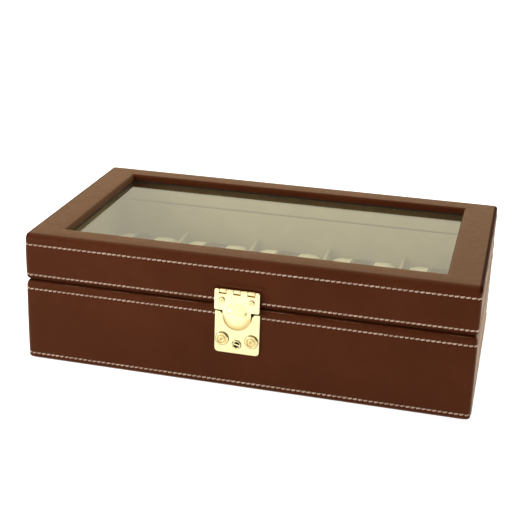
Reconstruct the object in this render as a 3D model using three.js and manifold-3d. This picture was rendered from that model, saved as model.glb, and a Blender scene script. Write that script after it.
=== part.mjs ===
// Glass-topped leather watch box for ten watches.
// Millimetres, +Z up. The origin is the centre of the underside. The front, with the lock, faces -Y.
// The box is a fibreboard carcass in a leather wrap: a base with ten cushioned cells, and a lid that
// swings on two brass butt hinges set into the rear rims. A hinged brass hasp on the lid drops over
// the lock plate on the base, and a keyed plug drives a bolt up through the hasp's staple.

import * as THREE from 'three';
import { mergeVertices } from 'three/addons/utils/BufferGeometryUtils.js';
import Module from 'manifold-3d';

const wasm = await Module();
wasm.setup();

// ---------------------------------------------------------------- driving dimensions (mm)
const WIDTH = 335;            // outside, X
const DEPTH = 190;            // outside, Y
const HEIGHT = 101;           // outside, Z
const CORNER_R = 5;           // vertical corners of the leather
const TOP_R = 4.5;            // rounded top edge of the lid

const RIM_Z = 64.8;           // top of the base's leather rim
const LID_Z = 65.2;           // underside of the lid's leather rim
const AIR = 0.2;              // glue line between two parts that are bonded face to face

const LEATHER = 1.1;          // leather with its backing
const BOARD = 6.0;            // fibreboard walls
const RIM_COVER = 7.1;        // how far the leather runs in over a rim

const FELT_T = 0.7;           // felt on the underside
const WRAP_Z = 0.9;           // underside of the leather turned under the floor
const FLOOR_Z0 = 2.2, FLOOR_T = 5.8;
const FLOOR_LINING_T = 0.8;

const LINING_OUT = 7.7;       // inset of the lining cards' outer face in the base
const LINING_T = 1.8;         // lining card with its fabric
const LIP_Z = 74.0;           // top of the lining cards: the lip that centres the lid
const LINING_IN = LINING_OUT + LINING_T;

const DIVIDER_T = 2.6, DIVIDER_Z = 49.3;
const COLUMNS = 5;

const WINDOW_X = 25.4;        // width of the window frame at the two ends
const WINDOW_Y = 20.5;        // and along the front and back
const GLASS_T = 2.5, GLASS_Z = 92.5;
const LID_LINING_Z0 = 74.7, LID_LINING_Z1 = 92.3, LID_LINING_T = 2.0;

const CUSHION = { x: 59.2, y: 80.0, z: 42.0, r: 11 };

// rear butt hinges
const HINGE_X = 105;          // centre of each hinge from the middle of the box
const HINGE_W = 32, LEAF_T = 1.2;
const KNUCKLE_R = 2.4, PIN_R = 0.95, BORE_R = 1.25;
const HINGE_AXIS = { y: DEPTH / 2 + 2.9, z: (RIM_Z + LID_Z) / 2 };
const LEAF_Y0 = 88.5;         // front edge of the leaves

// lock and hasp; Y counts outwards from the leather as negative
const FACE_Y = -DEPTH / 2;
const LOCK_X = -2.2;                           // the lock sits a touch left of the middle
const PLATE = { w: 33.6, z0: 28.1, z1: 60.6, t: 1.2, r: 3.2 };
const PLATE_Y = FACE_Y - 0.1;                 // back of the lock plate
const CASE = { w: 17.6, z0: 29.6, z1: 58.8, y0: -94.8, y1: -90.7, wall: 0.8 };
const KEY_Z = 35.4;                           // lock plug axis
const PLUG_R = 3.1, CAM_R = 4.4, CAM_PIN_OFFSET = 3.0, CAM_PIN_R = 0.8;
const RIVET = { x: 11, z: 39.0, head: 5.0, h: 1.7, shank: 1.2 };
const HASP_AXIS = { y: -97.2, z: 76.9 };      // hasp hinge
const HASP_KNUCKLE_R = 1.6, HASP_PIN_R = 0.6, HASP_BORE_R = 0.9;
const HASP = { w: 33.6, z0: 62.2, z1: 77.9, yBack: -97.6, t: 1.2, r: 2.2 };
const DOME = { z: 58.0, r: 10.6, h: 3.2 };
const STUD = { x: 11, z: 70.4, r: 1.0, head: 2.2 };
const STAPLE = { z0: 53.2, z1: 54.8, w: 8.0, yEnd: -91.6 };

// ---------------------------------------------------------------- colours
const mat = (hex, roughness, metalness, extra = {}) =>
  new THREE.MeshStandardMaterial({ color: hex, roughness, metalness, ...extra });
const leatherMat = () => mat(0x5a2416, 0.42, 0);
const boardMat = () => mat(0xb08a5e, 0.85, 0);
const liningMat = () => mat(0xb9b083, 0.95, 0);
const cushionMat = () => mat(0xd9cfa6, 0.95, 0);
const feltMat = () => mat(0x3a2a22, 1.0, 0);
const brassMat = () => mat(0xe6cf86, 0.22, 1);
const steelMat = () => mat(0xb8b2a4, 0.35, 1);
const glassMat = () => mat(0xdfe8e2, 0.03, 0, { transparent: true, opacity: 0.25 });

// ---------------------------------------------------------------- solids
function toManifold(geometry) {
  const g = geometry.clone();
  for (const k of Object.keys(g.attributes)) if (k !== 'position') g.deleteAttribute(k);
  const m = mergeVertices(g, 1e-4);
  const p = m.attributes.position.array;
  const src = m.index.array;
  const keep = [];
  for (let i = 0; i < src.length; i += 3) {
    const [a, b, c] = [src[i], src[i + 1], src[i + 2]];
    if (a !== b && b !== c && a !== c) keep.push(a, b, c);
  }
  let v = 0;
  for (let i = 0; i < keep.length; i += 3) {
    const [a, b, c] = [keep[i] * 3, keep[i + 1] * 3, keep[i + 2] * 3];
    v += p[a] * (p[b + 1] * p[c + 2] - p[b + 2] * p[c + 1])
       - p[a + 1] * (p[b] * p[c + 2] - p[b + 2] * p[c])
       + p[a + 2] * (p[b] * p[c + 1] - p[b + 1] * p[c]);
  }
  if (v < 0) for (let i = 0; i < keep.length; i += 3) [keep[i + 1], keep[i + 2]] = [keep[i + 2], keep[i + 1]];
  return new wasm.Manifold(new wasm.Mesh({
    numProp: 3, vertProperties: new Float32Array(p), triVerts: new Uint32Array(keep),
  }));
}

function toGeometry(solid) {
  const m = solid.getMesh();
  const n = m.numProp;
  const pos = new Float32Array((m.vertProperties.length / n) * 3);
  for (let i = 0, j = 0; i < m.vertProperties.length; i += n) {
    pos[j++] = m.vertProperties[i]; pos[j++] = m.vertProperties[i + 1]; pos[j++] = m.vertProperties[i + 2];
  }
  const g = new THREE.BufferGeometry();
  g.setAttribute('position', new THREE.BufferAttribute(pos, 3));
  g.setIndex(new THREE.BufferAttribute(new Uint32Array(m.triVerts), 1));
  g.computeVertexNormals();
  return g;
}

const cut = (solid, ...tools) => tools.reduce((a, b) => a.subtract(b), solid);
const join = (solid, ...others) => others.reduce((a, b) => a.add(b), solid);

// box by its corners
function block(x0, x1, y0, y1, z0, z1) {
  const g = new THREE.BoxGeometry(x1 - x0, y1 - y0, z1 - z0);
  g.translate((x0 + x1) / 2, (y0 + y1) / 2, (z0 + z1) / 2);
  return toManifold(g);
}

// shape drawn in X,Z and pushed out towards -Y, from yBack
function frontPlate(shape, yBack, thickness, curveSegments = 6, bevel = null) {
  const g = new THREE.ExtrudeGeometry(shape, {
    depth: bevel ? thickness - bevel : thickness, curveSegments,
    bevelEnabled: !!bevel, bevelThickness: bevel || 0, bevelSize: bevel || 0, bevelOffset: bevel ? -bevel : 0, bevelSegments: 2,
  });
  g.applyMatrix4(new THREE.Matrix4().makeBasis(
    new THREE.Vector3(1, 0, 0), new THREE.Vector3(0, 0, 1), new THREE.Vector3(0, -1, 0)));
  g.translate(0, yBack, 0);
  return toManifold(g);
}

// shape drawn in Y,Z and pushed along +X, from x0
function sideExtrude(shape, x0, length, curveSegments = 6) {
  const g = new THREE.ExtrudeGeometry(shape, { depth: length, bevelEnabled: false, curveSegments });
  g.applyMatrix4(new THREE.Matrix4().makeBasis(
    new THREE.Vector3(0, 1, 0), new THREE.Vector3(0, 0, 1), new THREE.Vector3(1, 0, 0)));
  g.translate(x0, 0, 0);
  return toManifold(g);
}

// rod along an axis between two places
function rodX(x0, x1, y, z, r, seg = 16) {
  const g = new THREE.CylinderGeometry(r, r, x1 - x0, seg);
  g.rotateZ(-Math.PI / 2);
  g.translate((x0 + x1) / 2, y, z);
  return toManifold(g);
}
function rodY(y0, y1, x, z, r, seg = 16) {
  const g = new THREE.CylinderGeometry(r, r, y1 - y0, seg);
  g.translate(x, (y0 + y1) / 2, z);
  return toManifold(g);
}
function rodZ(z0, z1, x, y, rBottom, rTop = rBottom, seg = 10) {
  const g = new THREE.CylinderGeometry(rTop, rBottom, z1 - z0, seg);
  g.rotateX(Math.PI / 2);
  g.translate(x, y, (z0 + z1) / 2);
  return toManifold(g);
}

function roundedRect(x0, x1, y0, y1, r) {
  const s = new THREE.Shape();
  s.moveTo(x0 + r, y0);
  s.lineTo(x1 - r, y0); s.absarc(x1 - r, y0 + r, r, -Math.PI / 2, 0);
  s.lineTo(x1, y1 - r); s.absarc(x1 - r, y1 - r, r, 0, Math.PI / 2);
  s.lineTo(x0 + r, y1); s.absarc(x0 + r, y1 - r, r, Math.PI / 2, Math.PI);
  s.lineTo(x0, y0 + r); s.absarc(x0 + r, y0 + r, r, Math.PI, Math.PI * 1.5);
  return s;
}

// the box's plan, set in from the outside by `inset`, between two heights
function plan(inset, z0, z1) {
  const x = WIDTH / 2 - inset, y = DEPTH / 2 - inset, r = CORNER_R - inset;
  if (r < 0.4) return block(-x, x, -y, y, z0, z1);
  const g = new THREE.ExtrudeGeometry(roundedRect(-x, x, -y, y, r), { depth: z1 - z0, bevelEnabled: false, curveSegments: 3 });
  g.translate(0, 0, z0);
  return toManifold(g);
}

// the window's plan, grown outwards by `grow`
function windowPlan(grow, z0, z1) {
  const x = WIDTH / 2 - WINDOW_X + grow, y = DEPTH / 2 - WINDOW_Y + grow;
  return block(-x, x, -y, y, z0, z1);
}

// the box's plan again, with its top edge rounded
function planRoundedTop(inset, z0, z1) {
  const b = TOP_R - inset, core = CORNER_R - TOP_R;
  const x = WIDTH / 2 - inset - b, y = DEPTH / 2 - inset - b;
  const g = new THREE.ExtrudeGeometry(roundedRect(-x, x, -y, y, core), {
    depth: z1 - z0 - b + 10, curveSegments: 3, bevelEnabled: true, bevelThickness: b, bevelSize: b, bevelSegments: 3,
  });
  g.translate(0, 0, z0 - 10);
  return toManifold(g).subtract(block(-400, 400, -400, 400, z0 - 40, z0));
}

const parts = new THREE.Group();
const groups = {};
function part(group, name, solid, material) {
  if (!groups[group]) { groups[group] = new THREE.Group(); groups[group].name = group; parts.add(groups[group]); }
  const mesh = new THREE.Mesh(toGeometry(solid), material);
  mesh.name = name;
  groups[group].add(mesh);
}

// ---------------------------------------------------------------- shared cutters
const lockPart = (body, name, solid, material) => part(body, name, solid.translate(LOCK_X, 0, 0), material);
const X = WIDTH / 2, Y = DEPTH / 2;
const atLock = (solid) => solid.translate(LOCK_X, 0, 0);
const casePocket = atLock(block(-CASE.w / 2 - 0.3, CASE.w / 2 + 0.3, -96, CASE.y1 + 0.3, CASE.z0 - 0.3, CASE.z1 + 0.3));
const stapleNotch = atLock(block(-4.9, 4.9, -96, CASE.y1 + 0.3, CASE.z1 - 1, RIM_Z + 1));
const rivetHole = (s) => atLock(rodY(-96, -88.2, s * RIVET.x, RIVET.z, RIVET.shank + 0.3, 10));
const leafStudHole = (s) => atLock(rodY(-96, -89.0, s * 7, 70.8, 1.3, 10));
const hingeCentres = [-HINGE_X, HINGE_X];
const baseMortise = (hx) => block(hx - HINGE_W / 2 - 0.3, hx + HINGE_W / 2 + 0.3, LEAF_Y0 - 0.3, Y + 3, RIM_Z - LEAF_T - 0.3, RIM_Z + 1);
const lidMortise = (hx) => block(hx - HINGE_W / 2 - 0.3, hx + HINGE_W / 2 + 0.3, LEAF_Y0 - 0.3, Y + 3, LID_Z - 1, LID_Z + LEAF_T + 0.3);
const SCREW = { y: 91.0, dx: 10, len: 8.5, shank: 0.9, head: 1.8 };
const baseScrewHole = (x) => rodZ(RIM_Z - SCREW.len - 0.4, RIM_Z, x, SCREW.y, SCREW.shank + 0.3);
const lidScrewHole = (x) => rodZ(LID_Z, LID_Z + SCREW.len + 0.4, x, SCREW.y, SCREW.shank + 0.3);
const screwXs = (hx) => [hx - SCREW.dx, hx + SCREW.dx];

// ---------------------------------------------------------------- base carcass
{
  const z0 = FLOOR_Z0, z1 = RIM_Z - LEATHER - AIR;
  const ring = plan(LEATHER + AIR, z0, z1);
  const xi = X - LEATHER - AIR - BOARD, yi = Y - LEATHER - AIR - BOARD;
  part('base', 'base_floor_board', block(-xi + AIR, xi - AIR, -yi + AIR, yi - AIR, FLOOR_Z0, FLOOR_Z0 + FLOOR_T), boardMat());
  part('base', 'base_front_board', cut(ring.intersect(block(-X, X, -Y, -yi, z0, z1)),
    casePocket, stapleNotch, rivetHole(-1), rivetHole(1)), boardMat());
  part('base', 'base_rear_board', cut(ring.intersect(block(-X, X, yi, Y, z0, z1)),
    ...hingeCentres.flatMap((hx) => [baseMortise(hx), ...screwXs(hx).map(baseScrewHole)])), boardMat());
  part('base', 'base_left_board', block(-xi - BOARD, -xi, -yi + AIR, yi - AIR, z0, z1), boardMat());
  part('base', 'base_right_board', block(xi, xi + BOARD, -yi + AIR, yi - AIR, z0, z1), boardMat());

  // leather: up the walls, in over the rim, and turned 14 mm under the floor
  const wrap = cut(plan(0, WRAP_Z, RIM_Z),
    plan(LEATHER, WRAP_Z + LEATHER, RIM_Z - LEATHER),
    plan(RIM_COVER, RIM_Z - LEATHER - 1, RIM_Z + 1),
    plan(14, 0, WRAP_Z + LEATHER + 1),
    casePocket, stapleNotch, rivetHole(-1), rivetHole(1),
    ...hingeCentres.map(baseMortise));
  part('base', 'base_leather_wrap', wrap, leatherMat());
  part('base', 'base_felt_underside', plan(2.5, 0, FELT_T), feltMat());
}

// ---------------------------------------------------------------- base lining and dividers
const IN_X = X - LINING_IN, IN_Y = Y - LINING_IN;      // clear inside of the base
const LINING_Z0 = FLOOR_Z0 + FLOOR_T + AIR;
{
  const xo = X - LINING_OUT, yo = Y - LINING_OUT;
  part('base', 'base_lining_floor', block(-xo, xo, -yo, yo, LINING_Z0, LINING_Z0 + FLOOR_LINING_T), liningMat());
  const z0 = LINING_Z0 + FLOOR_LINING_T + AIR;
  part('base', 'base_lining_front', block(-xo, xo, -yo, -IN_Y, z0, LIP_Z), liningMat());
  part('base', 'base_lining_rear', block(-xo, xo, IN_Y, yo, z0, LIP_Z), liningMat());
  part('base', 'base_lining_left', block(-xo, -IN_X, -IN_Y + AIR, IN_Y - AIR, z0, LIP_Z), liningMat());
  part('base', 'base_lining_right', block(IN_X, xo, -IN_Y + AIR, IN_Y - AIR, z0, LIP_Z), liningMat());
}
const CELL_X = (2 * IN_X - (COLUMNS - 1) * DIVIDER_T) / COLUMNS;
const CELL_Y = (2 * IN_Y - DIVIDER_T) / 2;
const CELL_Z = LINING_Z0 + FLOOR_LINING_T + AIR;
const dividerX = [];
for (let i = 1; i < COLUMNS; i++) dividerX.push(-IN_X + i * CELL_X + (i - 0.5) * DIVIDER_T);
const cellX = [];
for (let i = 0; i < COLUMNS; i++) cellX.push(-IN_X + CELL_X / 2 + i * (CELL_X + DIVIDER_T));
{
  const z0 = CELL_Z, z1 = DIVIDER_Z, zm = (z0 + z1) / 2, t = DIVIDER_T / 2, g = 0.3;
  // the long divider is slotted from below, the cross dividers from above
  const long = new THREE.Shape();
  long.moveTo(-IN_X + g, z0);
  for (const x of dividerX) {
    long.lineTo(x - t - g, z0); long.lineTo(x - t - g, zm + g / 2);
    long.lineTo(x + t + g, zm + g / 2); long.lineTo(x + t + g, z0);
  }
  long.lineTo(IN_X - g, z0); long.lineTo(IN_X - g, z1); long.lineTo(-IN_X + g, z1); long.closePath();
  part('base', 'divider_long', frontPlate(long, t, DIVIDER_T), liningMat());
  dividerX.forEach((x, i) => {
    const s = new THREE.Shape();
    s.moveTo(-IN_Y + g, z0); s.lineTo(IN_Y - g, z0); s.lineTo(IN_Y - g, z1);
    s.lineTo(t + g, z1); s.lineTo(t + g, zm - g / 2); s.lineTo(-t - g, zm - g / 2); s.lineTo(-t - g, z1);
    s.lineTo(-IN_Y + g, z1); s.closePath();
    part('base', `divider_cross_${i + 1}`, sideExtrude(s, x - t, DIVIDER_T), liningMat());
  });
}

// ---------------------------------------------------------------- cushions
{
  const { x: cx, y: cy, z: cz, r } = CUSHION;
  for (const row of ['front', 'rear']) {
    const yc = (row === 'front' ? -1 : 1) * (CELL_Y + DIVIDER_T) / 2;
    cellX.forEach((xc, i) => {
      // pillow: rounded section front to back, and eased sides
      const b = 3.5;
      const s = roundedRect(yc - cy / 2 + b, yc + cy / 2 - b, CELL_Z + AIR + b, CELL_Z + AIR + cz - b, r - b);
      const g = new THREE.ExtrudeGeometry(s, {
        depth: cx - 2 * b, curveSegments: 2, bevelEnabled: true, bevelThickness: b, bevelSize: b, bevelSegments: 1,
      });
      g.applyMatrix4(new THREE.Matrix4().makeBasis(
        new THREE.Vector3(0, 1, 0), new THREE.Vector3(0, 0, 1), new THREE.Vector3(1, 0, 0)));
      g.translate(xc - cx / 2 + b, 0, 0);
      part('cushions', `watch_cushion_${row}_${i + 1}`, toManifold(g), cushionMat());
    });
  }
}

// ---------------------------------------------------------------- lid carcass, glass, leather
{
  const boardTop = HEIGHT - LEATHER - AIR;
  const frameZ = GLASS_Z + GLASS_T + AIR;                 // underside of the window board
  part('lid', 'lid_top_frame', cut(planRoundedTop(LEATHER + AIR, frameZ, boardTop),
    windowPlan(LEATHER + AIR, frameZ - 2, boardTop + 2)), boardMat());

  const z0 = LID_Z + LEATHER + AIR, z1 = GLASS_Z + GLASS_T;
  const ring = plan(LEATHER + AIR, z0, z1);
  const xi = X - LEATHER - AIR - BOARD, yi = Y - LEATHER - AIR - BOARD;
  part('lid', 'lid_front_board', cut(ring.intersect(block(-X, X, -Y, -yi, z0, z1)), leafStudHole(-1), leafStudHole(1)), boardMat());
  part('lid', 'lid_rear_board', cut(ring.intersect(block(-X, X, yi, Y, z0, z1)),
    ...hingeCentres.flatMap((hx) => [lidMortise(hx), ...screwXs(hx).map(lidScrewHole)])), boardMat());
  part('lid', 'lid_left_board', block(-xi - BOARD, -xi, -yi + AIR, yi - AIR, z0, z1), boardMat());
  part('lid', 'lid_right_board', block(xi, xi + BOARD, -yi + AIR, yi - AIR, z0, z1), boardMat());

  // leather: in over the rim, up the walls, over the top and down the window's edge
  const sleeve = windowPlan(LEATHER, frameZ, HEIGHT + 5);
  const inner = planRoundedTop(LEATHER, LID_Z + LEATHER, HEIGHT - LEATHER).subtract(sleeve);
  part('lid', 'lid_leather_wrap', cut(planRoundedTop(0, LID_Z, HEIGHT), inner,
    plan(RIM_COVER, LID_Z - 1, LID_Z + LEATHER + 1), windowPlan(0, 60, HEIGHT + 5),
    leafStudHole(-1), leafStudHole(1), ...hingeCentres.map(lidMortise)), leatherMat());

  const gi = X - LEATHER - AIR - BOARD - AIR, gj = Y - LEATHER - AIR - BOARD - AIR;
  part('lid', 'lid_glass', block(-gi, gi, -gj, gj, GLASS_Z, GLASS_Z + GLASS_T), glassMat());
  part('lid', 'lid_lining_frame', cut(block(-gi, gi, -gj, gj, LID_LINING_Z0, LID_LINING_Z1),
    block(-gi + LID_LINING_T, gi - LID_LINING_T, -gj + LID_LINING_T, gj - LID_LINING_T, 60, 99)), liningMat());
}

// ---------------------------------------------------------------- rear butt hinges
{
  const side = { '-1': 'left', '1': 'right' };
  for (const sgn of [-1, 1]) {
    const hx = sgn * HINGE_X, n = side[sgn];
    const x0 = hx - HINGE_W / 2, x1 = hx + HINGE_W / 2;
    const { y: ay, z: az } = HINGE_AXIS;
    const k = HINGE_W / 5, gap = 0.15;
    // five knuckles: the base leaf has 1, 3 and 5, the lid leaf has 2 and 4
    const barrel = (list) => list.map((i) => rodX(x0 + i * k + (i ? gap : 0), x0 + (i + 1) * k - (i < 4 ? gap : 0), ay, az, KNUCKLE_R, 16));
    const slots = (list) => list.map((i) => block(x0 + i * k - gap, x0 + (i + 1) * k + gap, Y + 0.2, ay + KNUCKLE_R + 1, az - 4, az + 4));
    const bore = rodX(x0 - 1, x1 + 1, ay, az, BORE_R, 12);
    const cone = (x, up) => (up
      ? rodZ(RIM_Z - LEAF_T - 0.1, RIM_Z + 0.01, x, SCREW.y, SCREW.shank + 0.3, SCREW.head + 0.35)
      : rodZ(LID_Z - 0.01, LID_Z + LEAF_T + 0.1, x, SCREW.y, SCREW.head + 0.35, SCREW.shank + 0.3));

    const basePlate = block(x0, x1, LEAF_Y0, ay - 0.8, RIM_Z - LEAF_T, RIM_Z);
    part('base', `hinge_${n}_base_leaf`, cut(join(cut(basePlate, ...slots([1, 3])), ...barrel([0, 2, 4])), bore, ...screwXs(hx).map((x) => cone(x, true))), brassMat());
    const lidPlate = block(x0, x1, LEAF_Y0, ay - 0.8, LID_Z, LID_Z + LEAF_T);
    part('lid', `hinge_${n}_lid_leaf`, cut(join(cut(lidPlate, ...slots([0, 2, 4])), ...barrel([1, 3])), bore, ...screwXs(hx).map((x) => cone(x, false))), brassMat());
    part('base', `hinge_${n}_pin`, join(rodX(x0 - 0.4, x1 + 0.4, ay, az, PIN_R, 12), rodX(x0 - 0.9, x0 - 0.3, ay, az, 1.6, 12), rodX(x1 + 0.3, x1 + 0.9, ay, az, 1.6, 12)), brassMat());

    // countersunk screws, heads facing each other across the closed rims
    screwXs(hx).forEach((x, i) => {
      const profile = [[0, -SCREW.len], [SCREW.shank, -SCREW.len + 2.2], [SCREW.shank, -LEAF_T + 0.1], [SCREW.head, 0], [0, 0]];
      const g = new THREE.LatheGeometry(profile.map(([a, b]) => new THREE.Vector2(a, b)), 10);
      const up = g.clone(); up.rotateX(Math.PI / 2); up.translate(x, SCREW.y, RIM_Z - 0.1);
      part('base', `hinge_${n}_base_screw_${i + 1}`, toManifold(up), brassMat());
      const down = g.clone(); down.rotateX(-Math.PI / 2); down.translate(x, SCREW.y, LID_Z + 0.1);
      part('lid', `hinge_${n}_lid_screw_${i + 1}`, toManifold(down), brassMat());
    });
  }
}

// ---------------------------------------------------------------- lock on the base
{
  // plate: square top under the hasp, rounded bottom corners, notch for the staple, keyhole
  const w = PLATE.w / 2;
  const s = new THREE.Shape();
  s.moveTo(-w, PLATE.z1); s.lineTo(-w, PLATE.z0 + PLATE.r);
  s.absarc(-w + PLATE.r, PLATE.z0 + PLATE.r, PLATE.r, Math.PI, Math.PI * 1.5);
  s.lineTo(w - PLATE.r, PLATE.z0);
  s.absarc(w - PLATE.r, PLATE.z0 + PLATE.r, PLATE.r, -Math.PI / 2, 0);
  s.lineTo(w, PLATE.z1);
  s.lineTo(4.7, PLATE.z1); s.lineTo(4.7, STAPLE.z0 - 1.5); s.lineTo(-4.7, STAPLE.z0 - 1.5); s.lineTo(-4.7, PLATE.z1);
  s.closePath();
  lockPart('base', 'lock_plate', cut(frontPlate(s, PLATE_Y, PLATE.t, 5),
    rodY(-98, -94, 0, KEY_Z, PLUG_R + 0.3, 20),
    rodY(-98, -94, -RIVET.x, RIVET.z, RIVET.shank + 0.3, 10), rodY(-98, -94, RIVET.x, RIVET.z, RIVET.shank + 0.3, 10)), brassMat());

  // case: a tray open to the back of the plate, with the staple's way out at the top
  const c = CASE.w / 2;
  lockPart('base', 'lock_case', cut(block(-c, c, CASE.y0, CASE.y1, CASE.z0, CASE.z1),
    block(-c + CASE.wall, c - CASE.wall, CASE.y0 - 1, CASE.y1 - CASE.wall + 0.3, CASE.z0 + CASE.wall, CASE.z1 - CASE.wall),
    block(-4.9, 4.9, CASE.y0 - 1, CASE.y1 - CASE.wall + 0.3, CASE.z1 - 2, CASE.z1 + 1)), steelMat());

  // big ringed rivets
  for (const sgn of [-1, 1]) {
    const p = [[0, 0], [1.2, -0.3], [2.6, 0], [3.3, -0.3], [4.1, 0], [RIVET.head, -0.6],
      [RIVET.head, -RIVET.h], [RIVET.shank, -RIVET.h], [RIVET.shank, -8.6], [0, -9.3]];
    const g = new THREE.LatheGeometry(p.map(([a, b]) => new THREE.Vector2(a, b)), 18);
    g.rotateX(Math.PI);                           // axis +Y turned to face -Y
    g.translate(sgn * RIVET.x, PLATE_Y - PLATE.t - 0.1 - RIVET.h, RIVET.z);
    lockPart('base', `lock_rivet_${sgn < 0 ? 'left' : 'right'}`, toManifold(g), brassMat());
  }

  // plug: face with a keyway across it, and the cam disc with its drive pin
  const a = -Math.PI / 4;
  const px = CAM_PIN_OFFSET * Math.cos(a), pz = KEY_Z + CAM_PIN_OFFSET * Math.sin(a);
  const plug = join(rodY(-96.9, -94.9, 0, KEY_Z, PLUG_R, 20), rodY(-95.0, -94.1, 0, KEY_Z, CAM_R, 20), rodY(-94.2, -92.4, px, pz, CAM_PIN_R, 10));
  lockPart('lock_cylinder', 'lock_cylinder', cut(plug,
    block(-2.0, 2.0, -98, -95.9, KEY_Z + 0.45, KEY_Z + 1.5), block(-2.0, 2.0, -98, -95.9, KEY_Z - 1.5, KEY_Z - 0.45)), brassMat());

  // bolt: slotted plate behind the cam, with the nose that rises through the staple
  const b = new THREE.Shape();
  b.moveTo(-5, 30.9); b.lineTo(6.4, 30.9); b.lineTo(6.4, 43.5); b.lineTo(1.6, 43.5); b.lineTo(1.6, 51.2); b.lineTo(1.1, 51.8);
  b.lineTo(-1.1, 51.8); b.lineTo(-1.6, 51.2); b.lineTo(-1.6, 43.5); b.lineTo(-5, 43.5); b.closePath();
  const slot = block(px - CAM_PIN_R - 0.4, CAM_PIN_OFFSET + CAM_PIN_R + 0.4, -96, -90, pz - CAM_PIN_R - 0.35, pz + CAM_PIN_R + 0.35);
  lockPart('lock_bolt', 'lock_bolt', cut(frontPlate(b, -92.5, 1.3), slot), steelMat());
}

// ---------------------------------------------------------------- hasp on the lid
{
  const { y: ay, z: az } = HASP_AXIS;
  const half = 13.0, k = (2 * half) / 5, gap = 0.15;
  const knuckles = (list) => list.map((i) => rodX(-half + i * k + (i ? gap : 0), -half + (i + 1) * k - (i < 4 ? gap : 0), ay, az, HASP_KNUCKLE_R, 14));
  const bore = rodX(-half - 1, half + 1, ay, az, HASP_BORE_R, 10);
  const relief = (list, y0, y1, z0) => list.map((i) => block(-half + i * k - gap - (i ? 0 : 1), -half + (i + 1) * k + gap + (i < 4 ? 0 : 1), y0, y1, z0, az + 4));

  // fixed leaf behind the hasp, held by two studs in the lid's front board
  const leaf = cut(block(-half, half, -96.2, FACE_Y - 0.1, 67.2, az + 0.6), ...relief([1, 3], -100, -90, az - HASP_KNUCKLE_R - 0.4));
  lockPart('lid', 'hasp_leaf', cut(join(leaf, ...knuckles([0, 2, 4]),
    rodY(-95.2, -89.4, -7, 70.8, 1.0, 10), rodY(-95.2, -89.4, 7, 70.8, 1.0, 10)), bore), brassMat());
  lockPart('lid', 'hasp_pin', rodX(-half - 0.2, half + 0.2, ay, az, HASP_PIN_R, 10), brassMat());

  // hasp: plate with ears, cut away round the barrel, and the domed tongue
  const w = HASP.w / 2, r = HASP.r, e = half + 0.35, top = az - HASP_KNUCKLE_R - 0.35;
  const s = new THREE.Shape();
  s.moveTo(-w, HASP.z0 + 0.8); s.lineTo(-w + 0.8, HASP.z0);
  s.lineTo(-DOME.r, HASP.z0); s.lineTo(-DOME.r, DOME.z);
  s.absarc(0, DOME.z, DOME.r, Math.PI, 2 * Math.PI);
  s.lineTo(DOME.r, HASP.z0); s.lineTo(w - 0.8, HASP.z0); s.lineTo(w, HASP.z0 + 0.8);
  s.lineTo(w, HASP.z1 - r); s.absarc(w - r, HASP.z1 - r, r, 0, Math.PI / 2);
  s.lineTo(e, HASP.z1); s.lineTo(e, top); s.lineTo(-e, top); s.lineTo(-e, HASP.z1);
  s.lineTo(-w + r, HASP.z1); s.absarc(-w + r, HASP.z1 - r, r, Math.PI / 2, Math.PI);
  s.closePath();
  let hasp = frontPlate(s, HASP.yBack, HASP.t, 10);
  // dome: a spherical cap over the tongue, fading up into the plate
  const cap = [];
  const R = (DOME.r * DOME.r + DOME.h * DOME.h) / (2 * DOME.h);
  for (let i = 0; i <= 4; i++) {
    const q = (i / 4) * Math.asin((DOME.r - 0.3) / R);
    cap.push(new THREE.Vector2(R * Math.sin(q), R * Math.cos(q) - R + DOME.h));
  }
  cap.push(new THREE.Vector2(DOME.r - 0.3, -0.4), new THREE.Vector2(0, -0.4));
  const dome = new THREE.LatheGeometry(cap, 24);
  dome.scale(1, 1, 1.18);                          // a little taller than wide
  dome.rotateX(Math.PI);
  dome.translate(0, HASP.yBack - HASP.t, DOME.z + 1.8);
  hasp = join(hasp, toManifold(dome));
  // knuckle tabs bridge from the plate to knuckles 2 and 4
  const tabs = [1, 3].map((i) => block(-half + i * k + gap, -half + (i + 1) * k - gap, HASP.yBack - HASP.t, HASP.yBack, top - 0.5, az));
  hasp = join(hasp, ...tabs, ...knuckles([1, 3]));
  hasp = cut(hasp, bore, rodY(-101, -96, -STUD.x, STUD.z, STUD.r + 0.3, 10), rodY(-101, -96, STUD.x, STUD.z, STUD.r + 0.3, 10));
  lockPart('hasp', 'hasp', hasp, brassMat());

  // bracket behind the ears with the staple and the two peened studs
  const yb = HASP.yBack + 0.3;                      // -97.3
  const br = new THREE.Shape();
  br.moveTo(-13, 67.8); br.lineTo(-6, 67.8); br.lineTo(-5, 52.2); br.lineTo(5, 52.2); br.lineTo(6, 67.8); br.lineTo(13, 67.8);
  br.lineTo(13, 72.2); br.lineTo(-13, 72.2); br.closePath();
  let staple = frontPlate(br, yb + 0.7, 0.7);
  staple = join(staple, block(-STAPLE.w / 2, STAPLE.w / 2, yb + 0.1, STAPLE.yEnd, STAPLE.z0, STAPLE.z1));
  staple = cut(staple, block(-2.1, 2.1, -94.2, -92.2, STAPLE.z0 - 1, STAPLE.z1 + 1));
  const yf = HASP.yBack - HASP.t - 0.25;            // underside of the peened heads
  for (const sgn of [-1, 1]) {
    const head = new THREE.LatheGeometry([[0, 0.8], [0.9, 0.72], [1.6, 0.45], [STUD.head, 0], [0, 0]].map(([a, b]) => new THREE.Vector2(a, b)), 12);
    head.rotateX(Math.PI); head.translate(sgn * STUD.x, yf, STUD.z);
    staple = join(staple, rodY(yf - 0.1, yb + 0.1, sgn * STUD.x, STUD.z, STUD.r, 10), toManifold(head));
  }
  lockPart('hasp', 'hasp_staple', staple, brassMat());
}

export default parts;
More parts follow.
